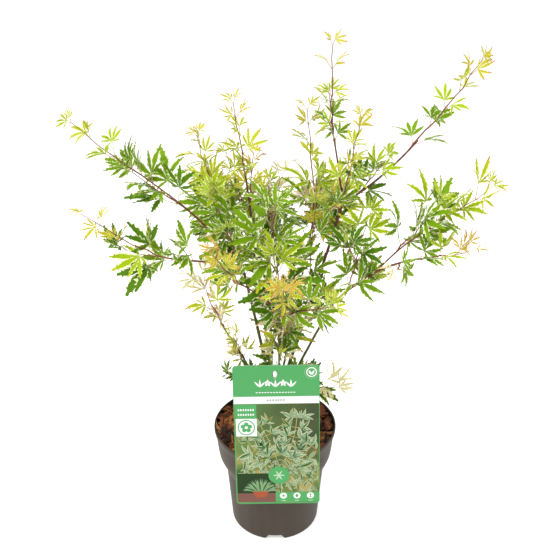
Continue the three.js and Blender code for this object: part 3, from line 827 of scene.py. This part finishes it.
STEMS = (
    "stem_left", "stem_mid_left", "stem_right", "stem_centre", "stem_low_right", "stem_low_left",
    "stem_back", "stem_front",
)
BOUGHS = (
    "bough_left_high", "bough_left_mid", "bough_top_left", "leader", "bough_right_high", "bough_right_low",
    "bough_right_mid", "bough_back_left", "bough_back_right", "bough_front_left", "bough_front_right",
)
LINE_STEPS = 48
CAD_RING_GAP = 6 * MM  # the CAD limb's rings of corners lie further apart than this
RING_STEP = 2.2 * MM
JOINT_GAP = 34 * MM  # between old leaf joints, which show as rings
JOINT_SWELLING = 0.16
JOINT_WIDTH = 1.6 * MM
FURROW_LENGTH = 22 * MM
FURROWS_ROUND = 2.2  # radius of the circle that the furrows are read from; a wider one gives more of them
TRUNK_RINGS = 30
FLARE = 4  # how fast the trunk's flare dies away up its height
STREAKS = (1.1111 * MM, 1.1111 * MM, 11.111 * MM)  # drawn out up the stem
BROWNING = {"From Min": 0.26, "From Max": 0.46}  # heights in metres where green turns to brown
LIMB_SEED = 23

growth_rng = np.random.default_rng(LIMB_SEED)


def unit(direction):
    return direction / max(np.linalg.norm(direction), 1e-12)


def middle_line(node):
    """A CAD limb's middle line and its radius along it, from the rings of corners of its mesh."""
    corners = points_of(node)
    middle = corners.mean(0)
    axis = np.linalg.svd(corners - middle)[2][0]
    if axis @ (middle - np.array(trunk_foot)) < 0:
        axis = -axis
    corners = corners[np.argsort(corners @ axis)]
    gaps = np.where(np.diff(corners @ axis) > CAD_RING_GAP)[0] + 1
    rings = np.split(corners, gaps)[-3:]
    near, far, end = [ring.mean(0) for ring in rings]
    widths = [np.linalg.norm(ring - ring.mean(0), axis=1).max() for ring in rings]
    foot = 3 * near - 3 * far + end
    share = np.linspace(0, 1, LINE_STEPS + 1)[:, None]
    bend = (9 * near - 4 * foot - end) / 4
    line = foot * (1 - share) ** 2 + bend * 2 * share * (1 - share) + end * share ** 2
    foot_width = max(2 * widths[0] - widths[1], widths[0])
    return line, foot_width + (widths[2] - foot_width) * share[:, 0]


def rings_along(line, radii, sides):
    """Rings of points round a line, each turned as little as it can be from the ring before."""
    ahead = np.gradient(line, axis=0)
    ahead /= np.linalg.norm(ahead, axis=1)[:, None]
    out = np.cross(ahead[0], (0.31, 0.9, 0.3))
    turns = np.arange(sides) * 2 * math.pi / sides
    rings = []
    for place, forward, radius in zip(line, ahead, radii):
        out = unit(out - forward * (out @ forward))
        side = np.cross(forward, out)
        ring = np.cos(turns)[:, None] * out + np.sin(turns)[:, None] * side
        rings.append(place + ring * np.reshape(radius, (-1, 1)))
    return np.vstack(rings)


def barked(line, radius, sides, relief):
    """A limb's rings with its bark's relief: shallow furrows along it and a swollen ring at each joint."""
    lengths = np.concatenate([[0], np.cumsum(np.linalg.norm(np.diff(line, axis=0), axis=1))])
    places = np.linspace(0, lengths[-1], max(int(lengths[-1] / RING_STEP), 3) + 1)
    line = np.stack([np.interp(places, lengths, line[:, axis]) for axis in range(3)], axis=1)
    radius = np.interp(places, lengths, radius)
    phase = growth_rng.uniform(0, JOINT_GAP)
    from_joint = np.abs((places + phase) % JOINT_GAP - JOINT_GAP / 2)
    swelling = 1 + JOINT_SWELLING * np.exp(-(from_joint / JOINT_WIDTH) ** 2)
    rows = []
    for place, width, swell in zip(line, radius, swelling):
        row = []
        for side in range(sides):
            turn = side * 2 * math.pi / sides
            around = (math.cos(turn) * FURROWS_ROUND, math.sin(turn) * FURROWS_ROUND)
            spot = Vector((*around, place[2] / FURROW_LENGTH))
            furrow = noise.fractal(spot, 0.8, 2.1, 3) * relief
            row.append(width * swell * (1 + furrow))
        rows.append(row)
    return rings_along(line, rows, sides), ring_faces(len(line), sides)


def add_limb(name, material, sides, relief):
    """Builds a limb's bark mesh in place of its CAD node."""
    piece = make_piece(f"bark_{name}", *barked(*limb_lines[name], sides, relief), [material])
    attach(piece, "root")
    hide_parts(name)


# The trunk: a short foot that flares into the mulch, with the stems' feet merging into it.
trunk_corners = points_of("trunk")
trunk_heights = np.linspace(trunk_low.z - 2 * MM, trunk_high.z, TRUNK_RINGS)
top_ring = trunk_corners[trunk_corners[:, 2] > trunk_high.z - 1 * MM]
foot_ring = trunk_corners[trunk_corners[:, 2] < trunk_low.z + 1 * MM]
top_middle, foot_middle = top_ring.mean(0), foot_ring.mean(0)
trunk_share = (trunk_heights - trunk_heights[0]) / (trunk_heights[-1] - trunk_heights[0])
trunk_line = foot_middle + (top_middle - foot_middle) * trunk_share[:, None]
trunk_line[:, 2] = trunk_heights
top_radius = np.linalg.norm(top_ring - top_middle, axis=1).max()
foot_radius = np.linalg.norm((foot_ring - foot_middle)[:, :2], axis=1).max()
trunk_radius = top_radius + (foot_radius - top_radius) * np.exp(-trunk_share * FLARE)

limb_lines = {name: middle_line(name) for name in STEMS + BOUGHS}
limb_lines["trunk"] = (trunk_line, trunk_radius)

# Young maple bark: smooth and slightly waxy, olive green on the old stems, with fine pale streaks along it.
# Red brown gets through higher up, where the wood is younger.
stem_bark, stem_shader = new_material("smooth_maple_bark", "#5d5a2a", 0.5)
streaky = {"Detail": 4.0, "Roughness": 0.6}
streaks = lay_grain(stem_bark, stem_shader, STREAKS, streaky, relief=(0.4, 0.4 * MM))
place = add(stem_bark, "ShaderNodeTexCoord").outputs["Object"]
height = add(stem_bark, "ShaderNodeSeparateXYZ", None, {"Vector": place}).outputs["Z"]
browned = add(stem_bark, "ShaderNodeMapRange", BROWNING, {"Value": height}).outputs["Result"]
green_stops = {"stops": [(0.3, "#36420f"), (0.52, "#5a6f24"), (0.75, "#8a8f4c")]}
green_tone = add(stem_bark, "ShaderNodeValToRGB", green_stops, {"Fac": streaks}).outputs["Color"]
brown_stops = {"stops": [(0.3, "#3d1a10"), (0.52, "#63301c"), (0.75, "#8c5434")]}
brown_tone = add(stem_bark, "ShaderNodeValToRGB", brown_stops, {"Fac": streaks}).outputs["Color"]
both_tones = {0: browned, 6: green_tone, 7: brown_tone}
stem_tone = add(stem_bark, "ShaderNodeMix", {"data_type": "RGBA"}, both_tones).outputs[2]
join(stem_bark, stem_tone, stem_shader.inputs["Base Color"])

add_limb("trunk", stem_bark, sides=24, relief=0.16)
for name in STEMS:
    add_limb(name, stem_bark, sides=14, relief=0.1)

# ---------- boughs ----------
# Last year's wood: thinner, redder and glossier than the stems, with the same rings at its joints.
# Each bough is one tapering limb that leaves its stem, or the bough below it.

BARK_FLECKS = 2.381 * MM

# Ripened shoot bark: a thin, tight, slightly shiny skin, dark red brown with paler flecks.
shoot_bark, shoot_shader = new_material("ripened_shoot_bark", "#5c2a1b", 0.42)
shoot_tones = [(0.35, "#3f1a10"), (0.55, "#6a3320"), (0.75, "#935539")]
flecked = {"Detail": 3.0, "Roughness": 0.6}
lay_grain(shoot_bark, shoot_shader, BARK_FLECKS, flecked, shoot_tones, (0.3, 0.3 * MM))

for name in BOUGHS:
    add_limb(name, shoot_bark, sides=10, relief=0.07)

# ---------- shoots ----------
# This year's growth, grown on from the limbs by one rule: a shoot bends up to the light, makes a pair of
# leaves at each joint, each pair square to the last, and side shoots where it has room.

# For each CAD mass: the limb that its shoot leaves and where along it, pairs of leaves, side shoots,
# the length of a leaf's middle lobe at the foot and the tip of the shoot, and the leaves' tints up the shoot.
# Each shoot's seed is its place in this list.
SPRAYS = {
    # The darker green tint that starts the inner, heart, back and low sprays is painted shade inside the
    # crown.
    "left_high_outer": ("bough_left_high", 1.0, 4, 0, 46, 22, "green green fresh lime"),
    "left_high_inner": ("bough_left_high", 0.86, 2, 0, 44, 42, "deep green"),
    "left_mid_outer": ("bough_left_mid", 1.0, 4, 0, 50, 20, "green fresh lime gold gold"),
    "left_mid_inner": ("bough_left_mid", 0.62, 2, 0, 50, 42, "green deep"),
    "left_low": ("stem_low_left", 0.9, 3, 1, 34, 38, "cream lime cream"),
    "left_foot": ("stem_low_left", 0.56, 3, 1, 26, 22, "lime cream lime"),
    "top_left_a": ("bough_top_left", 0.86, 5, 1, 38, 20, "fresh lime lime gold"),
    "top_left_tall": ("stem_mid_left", 0.96, 4, 0, 38, 18, "fresh lime lime gold"),
    "top_left_b": ("stem_mid_left", 0.7, 3, 2, 42, 24, "green fresh lime"),
    "top_left_c": ("stem_mid_left", 0.86, 4, 0, 32, 19, "lime gold amber"),
    "leader_tip": ("leader", 1.0, 3, 0, 20, 22, "fresh lime gold"),
    "leader_middle": ("leader", 0.86, 3, 0, 28, 22, "green fresh"),
    "top_centre_a": ("stem_centre", 0.9, 5, 1, 44, 24, "green fresh lime gold"),
    "top_centre_b": ("stem_right", 0.94, 5, 2, 36, 20, "green fresh lime gold"),
    "right_high_outer": ("bough_right_high", 0.86, 5, 0, 34, 22, "green green fresh lime gold"),
    "right_high_inner": ("bough_right_high", 0.14, 3, 0, 36, 28, "deep green fresh"),
    "right_mid_outer": ("bough_right_mid", 1.0, 4, 0, 54, 28, "green green fresh lime"),
    "right_mid_inner": ("bough_right_mid", 0.7, 3, 0, 48, 40, "green fresh"),
    "right_low_outer": ("bough_right_low", 0.9, 3, 0, 38, 26, "green fresh lime amber"),
    "right_low_drop": ("bough_right_low", 0.74, 1, 0, 34, 30, "green cream"),
    "right_inner": ("bough_right_low", 0.1, 3, 2, 50, 38, "green deep fresh"),
    "front_centre": ("stem_front", 0.96, 4, 0, 36, 24, "green lime gold amber"),
    "front_left": ("bough_front_left", 0.84, 4, 1, 36, 22, "green lime gold amber"),
    "front_right": ("bough_front_right", 0.84, 2, 0, 34, 30, "green fresh lime"),
    "heart_front": ("stem_front", 0.86, 5, 2, 60, 44, "deep green green"),
    "heart_left": ("stem_left", 0.9, 5, 2, 56, 38, "deep green green fresh"),
    "heart_right": ("stem_right", 0.46, 4, 2, 50, 36, "deep green fresh"),
    "heart_back": ("stem_back", 0.92, 4, 2, 52, 36, "deep green cream"),
    "lower_middle": ("stem_front", 0.42, 4, 3, 44, 38, "deep lime cream lime"),
    "lower_back": ("stem_back", 0.42, 3, 2, 42, 34, "green cream"),
    "back_left": ("bough_back_left", 0.84, 5, 4, 54, 32, "deep green fresh"),
    "back_centre": ("stem_back", 0.97, 5, 4, 54, 32, "green deep fresh"),
    "back_right": ("bough_back_right", 0.84, 5, 4, 54, 32, "deep green lime"),
    "rim_sprig": ("stem_low_right", 0.22, 3, 1, 44, 38, "green deep cream"),
    "left_sprig": ("stem_low_left", 0.3, 2, 0, 26, 24, "deep"),
}
SPRAY_SEEDS = {name: number for number, name in enumerate(SPRAYS, start=1)}
SHOOT_FOOT = 1.2 * MM
SHOOT_TIP = 0.42 * MM
SIDE_SHOOT = 0.62  # of the thickness of what it leaves
PETIOLE = 0.5 * MM  # radius of a leaf stalk, drawn a little over life so that it shows
TO_LIGHT = np.array([0, -0.45, 0.6])  # leaves face up and a little to the side that had the window
LEAF_LIFT = np.array([0, 0, 0.45])  # leaf stalks swing round to the upper side of a level shoot
LEAF_DROP = np.array([0, 0, -0.25])  # on a drooping shoot they hang to its under side
DROOPING = ("left_mid_outer", "right_low_drop")
STRAY_TINTS = ("lime", "gold", "blush", "fresh")  # some side shoots are all of one of these
STRAY_SHARE = 0.22
TWIG_SIDES = 7
PETIOLE_SIDES = 5
BARE_END = 0.86  # no side shoots leave a shoot past this share of its length
SIDE_TURN = 2.4  # radians from one side shoot round to the next, so that none stands over another
NODE_SWELLING = 0.22
NODE_WIDTH = 0.02  # of a shoot's length
LEAF_VARIETY = (0.8, 1.12)
TIP_LEAF = 0.75  # of the size of the leaves below it
SHOOT_STEPS = 25
WANDER_STEPS = 9
SKIN_MOTTLE = 3.8462 * MM

twig_heap = empty_heap()
stalk_heap = empty_heap()
spray_leaves = {}


def at_share(line, share):
    """The place and the direction at a share of a line's length."""
    place = share * (len(line) - 1)
    low = min(int(place), len(line) - 2)
    step = line[low + 1] - line[low]
    return line[low] + step * (place - low), unit(step)


def bent_line(foot, heading, tip, sway):
    """A shoot's line, which leaves along its heading and ends at its tip, with a slight zigzag."""
    span = np.linalg.norm(tip - foot)
    near = foot + heading * span * 0.36
    far = tip + (foot - tip) * 0.32 + np.array([0, 0, -0.05 * span])
    share = np.linspace(0, 1, SHOOT_STEPS)[:, None]
    line = foot * (1 - share) ** 3 + near * 3 * share * (1 - share) ** 2
    line += far * 3 * share ** 2 * (1 - share) + tip * share ** 3
    wander = growth_rng.normal(0, sway, (WANDER_STEPS, 3))
    wander[0] = wander[-1] = 0
    steps = np.linspace(0, 1, WANDER_STEPS)
    return line + np.stack([np.interp(share[:, 0], steps, wander[:, axis]) for axis in range(3)], axis=1)


def add_tube(heap, line, radii, sides, slot):
    heap_up(heap, rings_along(line, radii, sides), ring_faces(len(line), sides), slot)


def add_leaf(joint, ahead, radial, size, tint):
    """A leaf's stalk, which leaves the joint sideways and lifts, and the place of the blade at its end."""
    out = unit(ahead * growth_rng.uniform(0.35, 0.75) + radial)
    stalk = size * growth_rng.uniform(0.28, 0.5)
    lift = np.array([0, 0, growth_rng.uniform(0.15, 0.5)])
    share = np.linspace(0, 1, 5)[:, None]
    line = joint + out * stalk * share + lift * stalk * share ** 2
    radii = np.linspace(1.25, 0.85, 5) * PETIOLE * (0.7 + 0.3 * size / (40 * MM))
    add_tube(stalk_heap, line, radii, PETIOLE_SIDES, int(growth_rng.random() < 0.5))
    crown_out = unit(line[-1] * (1, 1, 0))
    along = unit(line[-1] - line[-2]) * 0.7 + radial * (1, 1, 0) * 0.4 + crown_out * 0.25
    along = unit(along + np.array([0, 0, growth_rng.uniform(-0.45, 0.1)]))
    facing = TO_LIGHT + crown_out * 0.3 + growth_rng.normal(0, 0.38, 3)
    facing = unit(facing - along * (facing @ along))
    leaf_places.append((line[-1], along, facing, size, tint))


def grow(line, foot_radius, tip_radius, pairs, side_shoots, sizes, tints, reach, swing, order):
    """Grows one shoot along its line, with its leaves and, where it has room, its side shoots."""
    shares = 1 - ((pairs - np.arange(pairs)) / (pairs + 0.35)) ** 1.2
    radii = np.linspace(foot_radius, tip_radius, len(line))
    steps = np.linspace(0, 1, len(line))
    for share in shares:
        radii = radii * (1 + NODE_SWELLING * np.exp(-((steps - share) / NODE_WIDTH) ** 2))
    add_tube(twig_heap, line, radii, TWIG_SIDES, 0 if order == 0 else 1)
    span = np.linalg.norm(line[-1] - line[0])
    phase = growth_rng.uniform(0, math.pi)
    given = 0
    for number, share in enumerate([*shares, 1.0]):
        joint, ahead = at_share(line, min(share, 0.995))
        side = unit(np.cross(ahead, (0.02, 0.03, 1.0)))
        up = np.cross(side, ahead)
        turn = phase + number * math.pi / 2 + growth_rng.normal(0, 0.2)
        size = sizes[0] + (sizes[1] - sizes[0]) * share
        tint = tints[min(int(share * len(tints)), len(tints) - 1)]
        at_tip = share == 1.0
        for pole in (0, math.pi):
            radial = unit(side * math.cos(turn + pole) + up * math.sin(turn + pole) + swing)
            leaf = size * growth_rng.uniform(*LEAF_VARIETY) * (TIP_LEAF if at_tip else 1)
            add_leaf(joint, ahead * (2 if at_tip else 1), radial, leaf, tint)
        if order == 2 or share >= BARE_END:
            continue
        while given < side_shoots * (number + 1) / pairs:
            given += 1
            bearing = turn + math.pi / 4 + given * SIDE_TURN
            radial = side * math.cos(bearing) + up * math.sin(bearing)
            length = min(reach * growth_rng.uniform(0.75, 1.1), 0.8 * span) * (1 - 0.35 * share)
            heading = unit(ahead * 0.75 + radial)
            tip = joint + unit(heading + np.array([0, 0, 0.3])) * length
            branch = bent_line(joint, heading, tip, 0.8 * MM)
            kind = tints
            if growth_rng.random() < STRAY_SHARE:
                kind = [STRAY_TINTS[growth_rng.integers(len(STRAY_TINTS))]]
            branch_sizes = (0.85 * size, 0.62 * size)
            thick = radii[int(share * (len(line) - 1))] * SIDE_SHOOT
            grow(branch, thick, tip_radius, 2, 0, branch_sizes, kind, 0.8 * reach, swing, order + 1)


for name, (carrier, share, pairs, side_shoots, foot_size, tip_size, tints) in SPRAYS.items():
    growth_rng = np.random.default_rng(SPRAY_SEEDS[name])
    leaf_places = spray_leaves[name] = []
    line, widths = limb_lines[carrier]
    foot, heading = at_share(line, share)
    from_foot = points_of(f"leaves_{name}") - foot
    furthest = from_foot[np.linalg.norm(from_foot, axis=1).argmax()]
    chord = unit(furthest)
    tip = foot + furthest - chord * tip_size * MM
    reach = np.quantile(np.linalg.norm(from_foot - np.outer(from_foot @ chord, chord), axis=1), 0.8)
    heading = unit(heading + chord * (0.4 if share > 0.95 else 1.2))
    shoot = bent_line(foot, heading, tip, 1.0 * MM)
    thick = min(SHOOT_FOOT, np.interp(share, np.linspace(0, 1, len(widths)), widths))
    sizes = (foot_size * MM, tip_size * MM)
    swing = LEAF_DROP if name in DROOPING else LEAF_LIFT
    grow(shoot, thick, SHOOT_TIP, pairs, side_shoots, sizes, tints.split(), reach, swing, 0)

# Green-wood bark: thin and waxy, red brown on this year's main shoots, orange brown on the soft side shoots.
TWIG_TONES = {
    "red_shoot_bark": ("#5a2518", "#9a5436"),
    "soft_shoot_bark": ("#8a4526", "#c48250"),
}
twig_skins = []
for name, (shade, light) in TWIG_TONES.items():
    skin, skin_shader = new_material(name, shade, 0.4)
    lay_grain(skin, skin_shader, SKIN_MOTTLE, {"Detail": 3.0}, [(0.35, shade), (0.68, light)])
    twig_skins.append(skin)

twigs = make_heap("twigs", twig_heap, twig_skins)
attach(twigs, "root")

# ---------- leaf stalks ----------
# Each leaf hangs on a thin, wiry stalk, pink on young growth and yellow green on the older leaves.
# Here the two kinds are dealt out by chance.

STALK_RIDGES = 1.4286 * MM
STALK_COLOURS = {"stalk_green": "#b7b26a", "stalk_pink": "#c98d78"}

# Stalk skin: smooth and slightly shiny, with fine ridges that are drawn coarser than life, so that they show.
stalk_skins = []
for name, code in STALK_COLOURS.items():
    skin, skin_shader = new_material(name, code, 0.42)
    lay_grain(skin, skin_shader, STALK_RIDGES, {"Detail": 2.0}, relief=(0.2, 0.1 * MM))
    stalk_skins.append(skin)

stalks = make_heap("leaf_stalks", stalk_heap, stalk_skins)
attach(stalks, "root")

# ---------- leaves ----------
# Thin palmate leaves of five or seven narrow lobes, cut nearly to the stalk, each with forward-pointing teeth
# and a long tip. A green middle is edged with cream, and young leaves turn yellow with orange brown tips.

# Each tint: the colours of a leaf's middle, edge and tips, how much of its width is middle, its lobes'
# breadth as a share of their length, and how much it curls.
TINTS = {
    # The first tint is a darker green for the sprays inside the crown, at its heart, back and foot. It is
    # painted shade.
    "deep": ("#527c06", "#e2e6b4", "#527c06", 0.76, 0.27, 1.0),
    "green": ("#739b08", "#e8e9ba", "#7f9d10", 0.72, 0.25, 1.1),
    "fresh": ("#9cb80c", "#e8e796", "#b4ba2e", 0.68, 0.22, 1.1),
    "lime": ("#b2bd1a", "#e8e68c", "#c2a04a", 0.64, 0.2, 1.2),
    "gold": ("#b9b224", "#dcd468", "#c08650", 0.58, 0.19, 1.3),
    "amber": ("#c2a42e", "#dcc070", "#b86e4c", 0.54, 0.18, 1.4),
    "cream": ("#ccc884", "#f0e3ba", "#e8c89c", 0.34, 0.16, 1.9),
    "blush": ("#cdbf7c", "#f2d6ba", "#de9480", 0.3, 0.15, 1.9),
}
# The record's slot that each tint at a shoot's foot stands for.
TINT_SLOTS = {
    "deep": "leaf_green", "green": "leaf_green", "fresh": "leaf_fresh", "lime": "leaf_young",
    "gold": "leaf_young", "amber": "leaf_young", "cream": "leaf_cream", "blush": "leaf_cream",
}
LEAF_PARTS = ("middle", "edge", "tip")
MIDDLE, EDGE, TIP = range(3)
LOBE_ROWS = 12
LOBE_COLUMNS = 5  # corners across a lobe: edge, middle, spine, middle, edge
TIP_ROWS = 2  # all of them in the tip's colour, after one row whose edges are
LOBE_BEARINGS = (0, 33, -33, 67, -67, 104, -104)
LOBE_LENGTHS = (1.0, 0.92, 0.92, 0.7, 0.7, 0.4, 0.4)
LOBE_SHARES = (0, 0.08, 0.2, 0.38, 0.52, 0.68, 0.82, 0.93, 1)
LOBE_WIDTHS = (0.26, 0.3, 0.5, 0.88, 1, 0.82, 0.5, 0.22, 0.02)
TOOTH = 0.3
SEVEN_LOBES_FROM = 24 * MM
VEINS = 1.1111 * MM
LOW_SHEEN = {"Specular IOR Level": 0.2}
FULL_PIECE = 64000  # faces, after which a new piece is begun, so that none has 200,000 triangles

row_share = np.linspace(0, 1, LOBE_ROWS + 1)
half_outline = np.interp(row_share, LOBE_SHARES, LOBE_WIDTHS)
toothed_rows = (row_share > 0.15) & (row_share < 0.95)
tooth_rows = np.arange(LOBE_ROWS + 1) % 2 == 1
lobe_quads = []
lobe_parts = []
for row in range(LOBE_ROWS):
    for column in range(LOBE_COLUMNS - 1):
        corner = row * LOBE_COLUMNS + column
        lobe_quads.append((corner, corner + 1, corner + LOBE_COLUMNS + 1, corner + LOBE_COLUMNS))
        at_edge = column in (0, LOBE_COLUMNS - 2)
        from_tip = LOBE_ROWS - row
        in_tip = from_tip <= TIP_ROWS or (at_edge and from_tip == TIP_ROWS + 1)
        lobe_parts.append(TIP if in_tip else EDGE if at_edge else MIDDLE)
lobe_quads = np.array(lobe_quads)
lobe_parts = np.array(lobe_parts)


def lobe_points(length, breadth, middle_share, curl):
    """One lobe's points in the leaf's own plane: along X from the stalk, Y across, Z up off the blade."""
    sweep = leaf_rng.normal(0, 0.3) * curl
    droop = leaf_rng.uniform(0.1, 0.75) * curl
    rise = leaf_rng.uniform(-0.1, 0.3)
    twist = leaf_rng.normal(0, 0.5) * curl
    fold = leaf_rng.uniform(0.2, 0.55)
    heading = sweep * (row_share - 0.3)
    pitch = rise - droop * row_share ** 1.3
    level = np.stack([np.cos(heading), np.sin(heading)])
    steps = np.stack([*(np.cos(pitch) * level), np.sin(pitch)], axis=1)
    spine = np.vstack([np.zeros(3), np.cumsum(steps[:-1] * length / LOBE_ROWS, axis=0)])
    across = np.stack([-np.sin(heading), np.cos(heading), np.zeros_like(heading)], axis=1)
    above = np.cross(steps, across)
    roll = (twist * row_share)[:, None]
    across, above = across * np.cos(roll) + above * np.sin(roll), above * np.cos(roll) - across * np.sin(roll)
    half = half_outline * breadth * length / 2
    points = np.empty((LOBE_ROWS + 1, LOBE_COLUMNS, 3))
    points[:, 2] = spine
    for side, inner, edge in ((-1, 1, 0), (1, 3, 4)):
        tooth = TOOTH * leaf_rng.uniform(0.6, 1.3, LOBE_ROWS + 1)
        jagged = half * (1 + np.where(toothed_rows, np.where(tooth_rows, tooth, -tooth), 0))
        lead = np.where(tooth_rows & toothed_rows, 0.55, 0.0) * length / LOBE_ROWS
        middle = half * np.clip(middle_share * leaf_rng.uniform(0.75, 1.25, LOBE_ROWS + 1), 0.05, 0.9)
        ruffle = leaf_rng.normal(0, 0.14, LOBE_ROWS + 1) * curl
        for column, width, forward in ((inner, middle, 0 * lead), (edge, jagged, lead)):
            lift = width * (fold + ruffle * (column == edge))
            outline = spine + across * (side * width)[:, None] + steps * forward[:, None]
            points[:, column] = outline + above * lift[:, None]
    return points.reshape(-1, 3)


def leaf_mesh(place, along, facing, size, tint):
    """A whole leaf's points, faces and the part that each face belongs to."""
    middle_share, breadth, curl = TINTS[tint][3:]
    lobes = 7 if size > SEVEN_LOBES_FROM and leaf_rng.random() < 0.6 else 5
    side = np.cross(facing, along)
    points = []
    spread = leaf_rng.uniform(0.85, 1.1)
    for bearing, share in zip(LOBE_BEARINGS[:lobes], LOBE_LENGTHS):
        turn = math.radians(bearing * spread + leaf_rng.normal(0, 5))
        length = size * share * leaf_rng.uniform(0.86, 1.12)
        local = lobe_points(length, breadth * leaf_rng.uniform(0.85, 1.2), middle_share, curl)
        x = local[:, 0] * math.cos(turn) - local[:, 1] * math.sin(turn)
        y = local[:, 0] * math.sin(turn) + local[:, 1] * math.cos(turn)
        points.append(place + np.outer(x, along) + np.outer(y, side) + np.outer(local[:, 2], facing))
    faces = np.vstack([lobe_quads + number * len(points[0]) for number in range(lobes)])
    return np.vstack(points), faces, np.tile(lobe_parts, lobes)


def finish_leaves(number, family, heap, masses):
    """Joins a heap of leaves into one piece, which stands for the masses that they grew in."""
    piece = make_heap(f"leaves_{family}_{number}", heap, blades)
    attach(piece, "root")
    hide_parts(*masses)


# Leaf blades: thin, soft and half matt, with a low waxy sheen and fine raised veins about a millimetre apart.
blades = []
first_slots = {}
for tint, codes in TINTS.items():
    first_slots[tint] = len(blades)
    for part, code in zip(LEAF_PARTS, codes):
        blade, blade_shader = new_material(f"leaf_{tint}_{part}", code, 0.5, 1.42, LOW_SHEEN)
        lay_grain(blade, blade_shader, VEINS, {"Detail": 2.0}, relief=(0.25, 0.15 * MM))
        blades.append(blade)

families = {}
for name, (*_, tints) in SPRAYS.items():
    families.setdefault(TINT_SLOTS[tints.split()[0]], []).append(name)

for family, names in families.items():
    heap, masses, number = empty_heap(), [], 1
    for name in names:
        if len(heap["faces"]) > FULL_PIECE:
            finish_leaves(number, family, heap, masses)
            heap, masses, number = empty_heap(), [], number + 1
        masses.append(f"leaves_{name}")
        leaf_rng = np.random.default_rng(SPRAY_SEEDS[name])
        for leaf in spray_leaves[name]:
            points, faces, parts = leaf_mesh(*leaf)
            heap_up(heap, points, faces.tolist(), (first_slots[leaf[-1]] + parts).tolist())
    finish_leaves(number, family, heap, masses)
